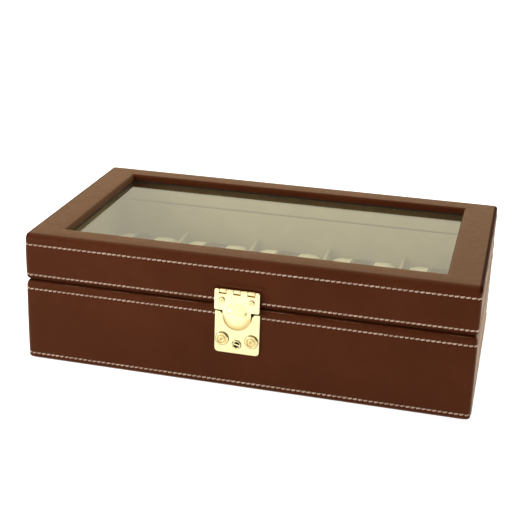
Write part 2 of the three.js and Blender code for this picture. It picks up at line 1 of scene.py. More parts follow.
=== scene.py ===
"""Looks of the watch box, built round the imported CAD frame. Metres, +Z up, front faces -Y."""
import bpy
import math
import numpy as np
from mathutils import Vector, Matrix, noise
from mathutils.bvhtree import BVHTree
from mathutils.geometry import delaunay_2d_cdt


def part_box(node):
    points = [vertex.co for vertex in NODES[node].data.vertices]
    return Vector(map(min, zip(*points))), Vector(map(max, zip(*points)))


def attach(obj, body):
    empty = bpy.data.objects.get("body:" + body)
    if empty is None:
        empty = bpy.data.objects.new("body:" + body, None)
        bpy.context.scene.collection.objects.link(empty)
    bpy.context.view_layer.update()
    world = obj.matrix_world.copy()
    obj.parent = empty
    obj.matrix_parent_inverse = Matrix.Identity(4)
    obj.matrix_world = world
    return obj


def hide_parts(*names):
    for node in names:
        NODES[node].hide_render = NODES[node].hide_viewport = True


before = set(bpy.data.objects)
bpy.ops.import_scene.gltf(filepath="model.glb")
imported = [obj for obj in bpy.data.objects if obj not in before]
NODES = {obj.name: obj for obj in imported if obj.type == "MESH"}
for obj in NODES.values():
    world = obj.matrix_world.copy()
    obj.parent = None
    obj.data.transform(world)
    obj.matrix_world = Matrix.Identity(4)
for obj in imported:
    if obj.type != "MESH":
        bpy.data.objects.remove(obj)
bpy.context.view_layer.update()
SCENE = bpy.context.scene
MM = 0.001


def box_mm(node):
    lo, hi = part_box(node)
    return [c * 1000 for c in lo], [c * 1000 for c in hi]


# ------------------------------------------------------------------ sizes, read from the frame (mm)
_lo, _hi = box_mm("base_leather_wrap")
HW, HD = (_hi[0] - _lo[0]) / 2, (_hi[1] - _lo[1]) / 2        # half width, half depth
WRAP_Z, RIM_Z = _lo[2], _hi[2]
_lo, _hi = box_mm("lid_leather_wrap")
LID_Z, TOP_Z = _lo[2], _hi[2]
_lo, _hi = box_mm("lid_glass")
GLASS_TOP = _hi[2]
_lo, _hi = box_mm("lock_plate")
PLATE_X = (_lo[0] + _hi[0]) / 2
PLATE_HW, PLATE_Z0, PLATE_Z1, PLATE_YF, PLATE_YB = (_hi[0] - _lo[0]) / 2, _lo[2], _hi[2], _lo[1], _hi[1]
_lo, _hi = box_mm("lock_cylinder")
KEY_YF = _lo[1]
_lo, _hi = box_mm("hasp_pin")
PIN_Y, PIN_Z, PIN_X0, PIN_X1 = (_lo[1] + _hi[1]) / 2, (_lo[2] + _hi[2]) / 2, _lo[0], _hi[0]
CORNER_R = 3.4
WINDOW_X, WINDOW_Y = 25.4, 20.5
STITCH_Z = {"lid_upper": 93.1, "lid_lower": 69.3, "base_upper": 57.9, "base_lower": 4.75}
STITCH_PITCH = {"lid_upper": 3.86, "lid_lower": 3.66, "base_upper": 3.66, "base_lower": 3.77}


# ------------------------------------------------------------------ node helpers
class Mat:
    """A small builder for procedural materials."""

    def __init__(self, name):
        self.m = bpy.data.materials.new(name)
        self.m.use_nodes = True
        self.t = self.m.node_tree
        self.n = self.t.nodes
        self.n.clear()
        self.out = self.add("ShaderNodeOutputMaterial")
        tc = self.add("ShaderNodeTexCoord")
        mp = self.add("ShaderNodeMapping")
        mp.inputs["Scale"].default_value = (1000, 1000, 1000)     # object space, in mm
        self.link(tc.outputs["Object"], mp.inputs["Vector"])
        self.mm = mp.outputs["Vector"]

    def add(self, kind, **props):
        node = self.n.new(kind)
        for k, v in props.items():
            setattr(node, k, v)
        return node

    def link(self, a, b):
        self.t.links.new(a, b)

    def set(self, socket, value):
        if hasattr(value, "is_linked") or isinstance(value, bpy.types.NodeSocket):
            self.link(value, socket)
        else:
            socket.default_value = value

    def stretch(self, s):
        mp = self.add("ShaderNodeMapping")
        mp.inputs["Scale"].default_value = s
        self.link(self.mm, mp.inputs["Vector"])
        return mp.outputs["Vector"]

    def noise(self, scale, detail=3, rough=0.55, vec=None, distortion=0.0):
        x = self.add("ShaderNodeTexNoise")
        x.inputs["Scale"].default_value = scale
        x.inputs["Detail"].default_value = detail
        x.inputs["Roughness"].default_value = rough
        x.inputs["Distortion"].default_value = distortion
        self.link(vec or self.mm, x.inputs["Vector"])
        return x.outputs["Fac"]

    def voronoi(self, scale, feature="F1", out="Distance", vec=None, rand=1.0):
        x = self.add("ShaderNodeTexVoronoi", feature=feature)
        x.inputs["Scale"].default_value = scale
        x.inputs["Randomness"].default_value = rand
        self.link(vec or self.mm, x.inputs["Vector"])
        return x.outputs[out]

    def ramp(self, fac, stops):
        x = self.add("ShaderNodeValToRGB")
        r = x.color_ramp
        while len(r.elements) < len(stops):
            r.elements.new(0.5)
        for e, (p, c) in zip(r.elements, stops):
            e.position = p
            e.color = (*c, 1.0) if len(c) == 3 else c
        self.link(fac, x.inputs["Fac"])
        return x.outputs["Color"]

    def vmap(self, fac, a, b, c=0.0, d=1.0):
        x = self.add("ShaderNodeMapRange")
        x.inputs["From Min"].default_value = a
        x.inputs["From Max"].default_value = b
        x.inputs["To Min"].default_value = c
        x.inputs["To Max"].default_value = d
        self.link(fac, x.inputs["Value"])
        return x.outputs["Result"]

    def math(self, op, a, b=0.0):
        x = self.add("ShaderNodeMath", operation=op)
        self.set(x.inputs[0], a)
        self.set(x.inputs[1], b)
        return x.outputs[0]

    def mix(self, fac, a, b):
        x = self.add("ShaderNodeMix", data_type="RGBA")
        self.set(x.inputs["Factor"], fac)
        for sock, v in ((x.inputs[6], a), (x.inputs[7], b)):
            if isinstance(v, tuple):
                sock.default_value = (*v, 1.0)
            else:
                self.link(v, sock)
        return x.outputs[2]

    def bump(self, height, distance_mm, strength=1.0, normal=None):
        x = self.add("ShaderNodeBump")
        x.inputs["Strength"].default_value = strength
        x.inputs["Distance"].default_value = distance_mm * MM
        self.link(height, x.inputs["Height"])
        if normal is not None:
            self.link(normal, x.inputs["Normal"])
        return x.outputs["Normal"]

    def pointiness(self):
        return self.add("ShaderNodeNewGeometry").outputs["Pointiness"]

    def principled(self, color, rough, normal=None, **kw):
        b = self.add("ShaderNodeBsdfPrincipled")
        self.set(b.inputs["Base Color"], (*color, 1.0) if isinstance(color, tuple) else color)
        self.set(b.inputs["Roughness"], rough)
        if normal is not None:
            self.link(normal, b.inputs["Normal"])
        for k, v in kw.items():
            self.set(b.inputs[k.replace("_", " ")], v)
        self.link(b.outputs[0], self.out.inputs["Surface"])
        return b


def leather_material(name, dark, mid, light, worn, cell=1.15, spec_ior=1.16, rough=0.40, parting_shade_z=None, sheen=0.27):
    k = Mat(name)
    cloud = k.noise(0.016, 3, 0.5)
    blotch = k.noise(0.12, 4, 0.6)
    tone = k.math("ADD", k.math("MULTIPLY", cloud, 0.65), k.math("MULTIPLY", blotch, 0.35))
    base = k.ramp(tone, [(0.34, dark), (0.5, mid), (0.66, light)])
    # pebbled grain: fine cells with creases between them, and pores
    wob = k.noise(0.5, 2, 0.5)
    cells = k.voronoi(cell, "DISTANCE_TO_EDGE", "Distance")
    crease = k.vmap(cells, 0.0, 0.16)
    fine = k.noise(cell * 3.6, 4, 0.62)
    pores = k.vmap(k.voronoi(cell * 0.9, "F1", "Distance"), 0.03, 0.16)
    height = k.math("ADD", k.math("MULTIPLY", crease, 0.55),
                    k.math("ADD", k.math("MULTIPLY", fine, 0.45), k.math("MULTIPLY", pores, 0.25)))
    height = k.math("ADD", height, k.math("MULTIPLY", wob, 0.9))
    base = k.mix(k.vmap(crease, 0.0, 1.0, 0.30, 0.0), base, tuple(c * 0.62 for c in dark))
    if parting_shade_z:                                    # painted shade: the leather is darkened in a band round the parting, where the rounded edges face down and away from the light
        sep = k.add("ShaderNodeSeparateXYZ")
        k.link(k.mm, sep.inputs[0])
        off = k.math("ABSOLUTE", k.math("SUBTRACT", sep.outputs["Z"], parting_shade_z))
        shade_and_edge_paint = k.vmap(off, 1.4, 2.4, 0.80, 0.0)
        # and the folded edge along the two ends of the top
        out = k.vmap(k.math("ABSOLUTE", sep.outputs["X"]), HW - 2.9, HW - 1.9)
        high = k.vmap(sep.outputs["Z"], 96.4, 97.6)
        shade_and_edge_paint = k.math("MAXIMUM", shade_and_edge_paint, k.math("MULTIPLY", k.math("MULTIPLY", out, high), 0.90))
        # one mask, one dark colour: painted shade round the parting, and the real dark edge paint on the folded ends of
        # the top
        base = k.mix(shade_and_edge_paint, base, (0.022, 0.0044, 0.0015))
        keep = k.math("SUBTRACT", 1.0, shade_and_edge_paint)
        sheen = k.math("MULTIPLY", keep, sheen)
        spec_ior = k.math("ADD", k.math("MULTIPLY", keep, spec_ior - 1.02), 1.02)
    edge = k.vmap(k.pointiness(), 0.53, 0.60)
    wear = k.math("MULTIPLY", edge, k.vmap(k.noise(0.35, 4, 0.7), 0.42, 0.72))
    base = k.mix(k.math("MULTIPLY", wear, 0.55), base, worn)
    r = k.math("ADD", k.vmap(k.noise(0.22, 3, 0.6), 0.3, 0.7, rough - 0.05, rough + 0.07), k.math("MULTIPLY", wear, 0.06))
    k.principled(base, r, k.bump(height, 0.035, 0.75), IOR=spec_ior, Specular_Tint=(1.0, 0.62, 0.34, 1.0), Sheen_Weight=sheen, Sheen_Roughness=0.42, Sheen_Tint=(1.0, 0.60, 0.26, 1.0))
    return k.m


LEATHER = leather_material("brown_leather", (0.0430, 0.0093, 0.0034), (0.0482, 0.0108, 0.0041), (0.0545, 0.0127, 0.0050), (0.120, 0.043, 0.018), parting_shade_z=65.7)
BAND = leather_material("band_leather", (0.030, 0.0105, 0.0055), (0.040, 0.0140, 0.0070), (0.052, 0.0185, 0.0092), (0.10, 0.045, 0.024), cell=1.5, spec_ior=1.2, rough=0.50, sheen=0.02)


def thread_material(name, a, b):
    k = Mat(name)
    fibre = k.noise(7.0, 3, 0.6, vec=k.stretch((1.0, 1.0, 1.0)))
    tone = k.noise(0.11, 2, 0.5)
    col = k.mix(k.math("MULTIPLY", k.vmap(tone, 0.35, 0.65), 0.8), a, b)
    col = k.mix(k.vmap(fibre, 0.35, 0.62, 0.35, 0.0), col, tuple(c * 0.55 for c in a))
    k.principled(col, 0.62, k.bump(fibre, 0.03, 0.8), Sheen_Weight=0.25, Sheen_Roughness=0.4)
    return k.m


THREAD = thread_material("stitch_thread", (0.34, 0.22, 0.165), (0.53, 0.385, 0.305))
THREAD_FINE = thread_material("fine_thread", (0.50, 0.44, 0.30), (0.62, 0.56, 0.40))


def suede_material(name, dark, mid, light, sheen, pile=2.6, bump=0.16, lip_shadow_z=None):
    """Short-pile cloth: nap brushed in soft patches, fibre speckle and a faint ground weave."""
    k = Mat(name)
    nap = k.noise(0.045, 4, 0.6, distortion=0.4)
    brush = k.noise(0.5, 3, 0.6, vec=k.stretch((0.35, 1.0, 1.0)))
    fibre = k.noise(pile, 5, 0.7)
    tone = k.math("ADD", k.math("MULTIPLY", nap, 0.5), k.math("ADD", k.math("MULTIPLY", brush, 0.2), k.math("MULTIPLY", fibre, 0.3)))
    col = k.ramp(tone, [(0.36, dark), (0.5, mid), (0.64, light)])
    if lip_shadow_z:                                     # painted shadow: a dark line along the top edge of the lining's lip
        sep = k.add("ShaderNodeSeparateXYZ")
        k.link(k.mm, sep.inputs[0])
        off = k.math("ABSOLUTE", k.math("SUBTRACT", sep.outputs["Z"], lip_shadow_z))
        col = k.mix(k.vmap(off, 0.45, 0.95, 0.85, 0.0), col, tuple(c * 0.20 for c in dark))
        # painted shade: the lining is darkened towards its top, under the lid's frame
        col = k.mix(k.vmap(sep.outputs["Z"], 83.9, 86.3, 0.0, 0.70), col, (0.075, 0.047, 0.020))
    wx = k.add("ShaderNodeTexWave", wave_type="BANDS", bands_direction="DIAGONAL")
    wx.inputs["Scale"].default_value = 0.62
    wx.inputs["Distortion"].default_value = 1.2
    wx.inputs["Detail Scale"].default_value = 2.0
    k.link(k.mm, wx.inputs["Vector"])
    h = k.math("ADD", fibre, k.math("MULTIPLY", wx.outputs["Fac"], 0.18))
    k.principled(col, 0.92, k.bump(h, bump, 0.9), IOR=1.3, Sheen_Weight=sheen, Sheen_Roughness=0.35, Sheen_Tint=(*light, 1.0))
    return k.m


LINING = suede_material("cream_lining", (0.345, 0.298, 0.182), (0.39, 0.340, 0.210), (0.44, 0.385, 0.245), 0.10, lip_shadow_z=74.35)
VELOUR = suede_material("cream_velour", (0.64, 0.575, 0.375), (0.70, 0.635, 0.425), (0.76, 0.695, 0.48), 0.24, pile=2.0, bump=0.25)


def brass_material(name, color, rough=0.15, scratch=1.0, dome_rim_shade=None):
    k = Mat(name)
    hair = k.noise(0.9, 2, 0.5, vec=k.stretch((0.18, 1.0, 5.0)))
    hair2 = k.noise(1.1, 2, 0.5, vec=k.stretch((4.2, 1.0, 0.22)))
    smudge = k.noise(0.16, 4, 0.65)
    spots = k.vmap(k.noise(1.3, 4, 0.7), 0.62, 0.72)
    col = k.mix(k.math("MULTIPLY", k.vmap(smudge, 0.4, 0.7), 0.30), color, tuple(c * f for c, f in zip(color, (0.93, 0.88, 0.74))))
    col = k.mix(k.math("MULTIPLY", spots, 0.22), col, tuple(c * f for c, f in zip(color, (0.72, 0.58, 0.40))))
    if dome_rim_shade:                                      # painted shade: the dome's lower rim and foot are tinted deeper gold, in place of the darker reflection they would show
        mp = k.add("ShaderNodeMapping")
        mp.inputs["Location"].default_value = (-dome_rim_shade[0], 0.0, -dome_rim_shade[1])
        k.link(k.mm, mp.inputs["Vector"])
        flat = k.add("ShaderNodeVectorMath", operation="MULTIPLY")
        k.link(mp.outputs["Vector"], flat.inputs[0])
        flat.inputs[1].default_value = (1.0, 0.0, 1.0)
        ln = k.add("ShaderNodeVectorMath", operation="LENGTH")
        k.link(flat.outputs[0], ln.inputs[0])
        sep = k.add("ShaderNodeSeparateXYZ")
        k.link(flat.outputs[0], sep.inputs[0])
        ring = k.math("MULTIPLY", k.vmap(ln.outputs["Value"], dome_rim_shade[2] * 0.45, dome_rim_shade[2] * 1.02), k.vmap(sep.outputs["Z"], 1.5, -3.0))
        col = k.mix(k.math("MULTIPLY", ring, 0.95), col, (0.58, 0.40, 0.125))
    edge = k.vmap(k.pointiness(), 0.47, 0.40)
    col = k.mix(k.math("MULTIPLY", edge, 0.5), col, tuple(c * f for c, f in zip(color, (0.50, 0.40, 0.26))))
    r = k.math("ADD", k.vmap(smudge, 0.3, 0.75, rough - 0.04, rough + 0.10), k.math("MULTIPLY", k.vmap(hair, 0.45, 0.7), 0.05))
    h = k.math("ADD", k.math("MULTIPLY", hair, 0.5), k.math("MULTIPLY", hair2, 0.3))
    k.principled(col, r, k.bump(h, 0.010 * scratch, 0.6), Metallic=1.0)
    return k.m


BRASS = brass_material("polished_brass", (0.75, 0.69, 0.385), 0.15)
BRASS_HINGE = brass_material("hinge_brass", (0.90, 0.74, 0.44), 0.24)
BRASS_RIVET = brass_material("rivet_brass", (0.67, 0.57, 0.285), 0.19)
BRASS_DEEP = brass_material("brass_recess", (0.56, 0.40, 0.15), 0.32, 1.5)
# painted shade: the sides of plates and heads are dark brass, in place of their shadow and the dark reflection they
# catch
BRASS_SIDE_SHADE = brass_material("brass_side_shade", (0.20, 0.13, 0.05), 0.42, 1.5)
STEEL = brass_material("zinc_steel", (0.62, 0.60, 0.56), 0.34, 2.0)
# painted shade: the keyway's shallow floor is near-black, standing in for the shade inside a deep keyhole
KEYWAY_SHADE = brass_material("keyway_shade", (0.035, 0.028, 0.018), 0.5, 2.0)


def board_material():
    k = Mat("fibreboard")
    chips = k.noise(1.4, 5, 0.7, vec=k.stretch((0.5, 0.5, 1.6)))
    cloud = k.noise(0.08, 3, 0.5)
    tone = k.math("ADD", k.math("MULTIPLY", chips, 0.6), k.math("MULTIPLY", cloud, 0.4))
    col = k.ramp(tone, [(0.35, (0.26, 0.155, 0.08)), (0.5, (0.38, 0.25, 0.14)), (0.66, (0.48, 0.34, 0.20))])
    k.principled(col, 0.82, k.bump(chips, 0.12, 0.8))
    return k.m


def felt_material():
    k = Mat("underside_felt")
    fuzz = k.noise(1.8, 6, 0.75, distortion=0.8)
    clump = k.noise(0.25, 4, 0.6)
    tone = k.math("ADD", k.math("MULTIPLY", fuzz, 0.6), k.math("MULTIPLY", clump, 0.4))
    col = k.ramp(tone, [(0.36, (0.022, 0.012, 0.009)), (0.52, (0.042, 0.024, 0.018)), (0.68, (0.075, 0.045, 0.034))])
    k.principled(col, 1.0, k.bump(fuzz, 0.35, 1.0), Sheen_Weight=0.3, Sheen_Roughness=0.5)
    return k.m


def glass_material():
    """Clear float glass: clear straight through, with mirror reflection that grows with angle, and a faint green body."""
    k = Mat("lid_glass")
    fres = k.add("ShaderNodeFresnel")
    fres.inputs["IOR"].default_value = 1.5
    # both faces of the sheet together
    both = k.math("DIVIDE", k.math("MULTIPLY", fres.outputs[0], 1.76), k.math("ADD", fres.outputs[0], 1.0))
    geo = k.add("ShaderNodeNewGeometry")
    front = k.math("SUBTRACT", 1.0, geo.outputs["Backfacing"])
    smear = k.vmap(k.noise(0.012, 4, 0.7, distortion=1.5), 0.35, 0.75, 0.0, 0.035)
    tint = k.ramp(k.noise(0.01, 2), [(0.0, (0.945, 0.965, 0.945)), (1.0, (0.955, 0.972, 0.955))])
    clear = k.add("ShaderNodeBsdfTransparent")
    k.link(tint, clear.inputs["Color"])
    gloss = k.add("ShaderNodeBsdfGlossy")
    k.link(smear, gloss.inputs["Roughness"])
    gloss.inputs["Color"].default_value = (1.0, 1.0, 0.97, 1.0)
    mixer = k.add("ShaderNodeMixShader")
    k.link(k.math("MULTIPLY", both, front), mixer.inputs[0])
    k.link(clear.outputs[0], mixer.inputs[1])
    k.link(gloss.outputs[0], mixer.inputs[2])
    k.link(mixer.outputs[0], k.out.inputs["Surface"])
    return k.m


BOARD, FELT, GLASS = board_material(), felt_material(), glass_material()


# ------------------------------------------------------------------ mesh helpers (verts in mm)
def make(name, verts, faces, mats, body, replaces=(), face_mats=None, smooth=True, angle=None):
    me = bpy.data.meshes.new(name)
    me.from_pydata([tuple(float(c) * MM for c in v) for v in verts], [], [tuple(int(i) for i in f) for f in faces])
    me.update()
    ob = bpy.data.objects.new(name, me)
    SCENE.collection.objects.link(ob)
    for m in (mats if isinstance(mats, (list, tuple)) else [mats]):
        me.materials.append(m)
    if face_mats is not None:
        me.polygons.foreach_set("material_index", np.asarray(face_mats, np.int32))
    me.polygons.foreach_set("use_smooth", np.full(len(me.polygons), smooth))
    if angle is not None:
        e = np.zeros(len(me.edges), bool)
        sharp_by_angle(me, angle)
    if body:
        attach(ob, body)
    if replaces:
        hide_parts(*replaces)
    return ob


def sharp_by_angle(me, deg):
    """Marks edges sharper than deg, so that smooth shading keeps them."""
    normals = {}
    pol = me.polygons
    by_edge = {}
    for p in pol:
        for k in p.edge_keys:
            by_edge.setdefault(k, []).append(p.index)
    lim = math.cos(math.radians(deg))
    for e in me.edges:
        f = by_edge.get(e.key, [])
        if len(f) == 2 and pol[f[0]].normal.dot(pol[f[1]].normal) < lim:
            e.use_edge_sharp = True


def torus_faces(n_rings, n_pts):
    """Quads between consecutive closed rings, the last ring joined to the first."""
    i = np.arange(n_rings)[:, None]
    j = np.arange(n_pts)[None, :]
    a = i * n_pts + j
    b = i * n_pts + (j + 1) % n_pts
    c = ((i + 1) % n_rings) * n_pts + (j + 1) % n_pts
    d = ((i + 1) % n_rings) * n_pts + j
    return np.stack([a, b, c, d], -1).reshape(-1, 4)


def stations(half, steps, marks, fixed):
    """Places along a straight side: evenly spread, plus the given marks; fixed is not used."""
    base = [v for v in np.linspace(-half, half, steps)[1:-1] if all(abs(v - m) > 0.45 for m in marks)]
    return np.array(sorted(base + list(marks)))


_MARKS = [c + d for c in (-105.0, 105.0) for d in (-16.42, -16.28, 16.28, 16.42)] + [PLATE_X + d for d in (-4.95, -4.8, 4.8, 4.95)] + [-15.6, -14.4, 15.4, 16.6]
XS = stations(160.0, 128, _MARKS, 125.0)
YS = stations(88.0, 62, [], 60.0)


def rect_ring(ix, iy, r, z, nc=9):
    """A rounded rectangle set in by ix and iy, anticlockwise seen from above; every ring has the same stations."""
    x, y = HW - ix, HD - iy
    ex, ey = x - r, y - r
    def fit(v, full, end, fixed):
        return np.where(np.abs(v) <= fixed, v, np.sign(v) * (fixed + (np.abs(v) - fixed) * (end - fixed) / (full - fixed)))
    xs, ys = fit(XS, 160.6, ex, 125.0), fit(YS, 88.6, ey, 50.0)
    pts = []
    for c, (cx, cy, a0) in enumerate([(ex, -ey, -90), (ex, ey, 0), (-ex, ey, 90), (-ex, -ey, 180)]):
        for k in range(nc + 1):
            a = math.radians(a0 + 90 * k / nc)
            pts.append((cx + r * math.cos(a), cy + r * math.sin(a)))
        if c == 0:
            pts += [(x, v) for v in ys]
        elif c == 1:
            pts += [(v, y) for v in xs[::-1]]
        elif c == 2:
            pts += [(-x, v) for v in ys[::-1]]
        else:
            pts += [(v, -y) for v in xs]
    return np.array([(p[0], p[1], z) for p in pts])


def carve(V, skins):
    """Lets the leather in for the hinge leaves at the back and for the staple's channel at the front. skins: 0 outer, 1 inner skin."""
    hinge = (np.abs(np.abs(V[:, 0]) - 105.0) < 16.35) & (V[:, 1] > 87.9)
    low = RIM_Z - 1.30 - 1.1 * skins
    m = hinge & (V[:, 2] <= RIM_Z + 0.01) & (V[:, 2] > low)
    V[m, 2] = low[m]
    high = LID_Z + 1.30 + 1.1 * skins
    m = hinge & (V[:, 2] >= LID_Z - 0.01) & (V[:, 2] < high) & (V[:, 2] > RIM_Z + 0.1)
    V[m, 2] = high[m]
    deep = -90.4 + 1.0 * skins
    m = (np.abs(V[:, 0] - PLATE_X) < 4.88) & (V[:, 1] < deep) & (V[:, 2] > 51.35) & (V[:, 2] <= RIM_Z + 0.01)
    V[m, 1] = deep[m]
    return V


def swell(p, amp, size, seed):
    return amp * noise.noise(Vector((p[0] / size, p[1] / size, p[2] / size + seed)))


def arc(cx, cz, rx, rz, a0, a1, n):
    return [(cx + rx * math.cos(math.radians(a0 + (a1 - a0) * i / n)), cz + rz * math.sin(math.radians(a0 + (a1 - a0) * i / n))) for i in range(n + 1)]


def step01(v, a, b):
    t = min(max((v - a) / (b - a), 0.0), 1.0)
    return t * t * (3 - 2 * t)


def groove(z, rows, depth=0.42, width=0.95):
    return sum(depth * math.exp(-((z - s) / width) ** 2) for s in rows)


def wall_levels(z0, z1, rows, step=3.2):
    """Heights for a wall's rings: closer together round the stitch rows."""
    zs = set(np.linspace(z0, z1, max(2, int((z1 - z0) / step))).round(3).tolist())
    for s in rows:
        for d in (-2.6, -1.9, -1.4, -1.0, -0.65, -0.3, 0.0, 0.3, 0.65, 1.0, 1.4, 1.9, 2.6):
            if z0 < s + d < z1:
                zs.add(round(s + d, 3))
    out = []
    for z in sorted(zs):
        if not out or z - out[-1] > 0.16:
            out.append(z)
    return out


# ------------------------------------------------------------------ leather over the base
def base_leather():
    T = 1.1
    rows = [STITCH_Z["base_lower"], STITCH_Z["base_upper"]]
    prof = []                                        # (inset x, inset y, corner radius, z, puff weight)
    prof += [(14.0, WRAP_Z), (9.0, WRAP_Z), (5.0, WRAP_Z), (3.0, WRAP_Z)]
    prof += arc(1.7, WRAP_Z + 1.7, 1.7, 1.7, 270, 180, 7)            # bottom edge
    a, b = 3.4, 6.2                                  # rounded rim
    for z in wall_levels(WRAP_Z + 2.2, RIM_Z - b - 0.4, rows):
        prof.append((groove(z, rows), z))
    top = arc(a, RIM_Z - b, a, b, 180, 90, 16)
    prof += [(x + groove(z, rows), z) for x, z in top]
    prof = sorted(prof[:4], key=lambda q: -q[0]) + prof[4:12] + sorted(prof[12:] + [(groove(z, rows), z) for z in (51.2, 51.5)], key=lambda q: q[1])
    outer = len(prof) + 4
    prof += [(5.0, RIM_Z), (6.6, RIM_Z - 0.05), (7.05, RIM_Z - 0.25), (7.1, RIM_Z - 0.6), (7.1, RIM_Z - T + 0.1), (6.9, RIM_Z - T)]
    prof += [(4.5, RIM_Z - T), (2.9, RIM_Z - T - 0.6), (1.7, RIM_Z - 4.2), (T + 0.35, RIM_Z - 7.5), (T + 0.2, 30.0), (T + 0.3, 4.0), (T + 0.9, WRAP_Z + T + 0.3), (3.0, WRAP_Z + T), (9.0, WRAP_Z + T), (14.0, WRAP_Z + T)]
    rings = []
    for d, z in prof:
        ring = rect_ring(d, d, max(CORNER_R - d, 0.45), z)
        outside = d < 1.6 and 2.0 < z < RIM_Z - 0.5
        if outside:
            c = np.array([0.0, 0.0])
            puff = 0.22 * max(0.0, math.sin(math.pi * min(max((z - rows[0]) / (rows[1] - rows[0]), 0), 1))) ** 0.5
            for i, p in enumerate(ring):
                n = np.array([p[0] / HW, p[1] / HD])
                k = 1 if abs(n[0]) > abs(n[1]) else 0
                side = np.array([math.copysign(1, n[0]), 0]) if abs(p[0]) > HW - CORNER_R - d else np.array([0.0, 0.0])
                if abs(p[1]) > HD - CORNER_R - d:
                    side = side + np.array([0, math.copysign(1, p[1])])
                L = np.linalg.norm(side)
                if L:
                    side = side / L
                near_lock = p[1] < 0 and abs(p[0] - PLATE_X) < 24
                w = (0.0 if near_lock else puff) + swell(p, 0.10, 26.0, 3.1) * (0.4 if near_lock else 1.0)
                ring[i, :2] += side * w
        rings.append(ring)
    V = np.concatenate(rings)
    V = carve(V, np.repeat((np.arange(len(rings)) >= outer).astype(float), len(rings[0])))
    F = torus_faces(len(rings), len(rings[0]))
    return make("base_leather_cover", V, F[:, ::-1] if wrong_way(V, F) else F, LEATHER, "base", ["base_leather_wrap"])


def wrong_way(V, F):
    """True if a closed mesh's faces point inwards (signed volume below zero)."""
    V = np.asarray(V, float)
    F = np.asarray(F)
    a, b, c = V[F[:, 0]], V[F[:, 1]], V[F[:, 2]]
    vol = np.einsum("ij,ij->i", a, np.cross(b, c)).sum()
    if F.shape[1] == 4:
        d = V[F[:, 3]]
        vol += np.einsum("ij,ij->i", a, np.cross(c, d)).sum()
    return vol < 0


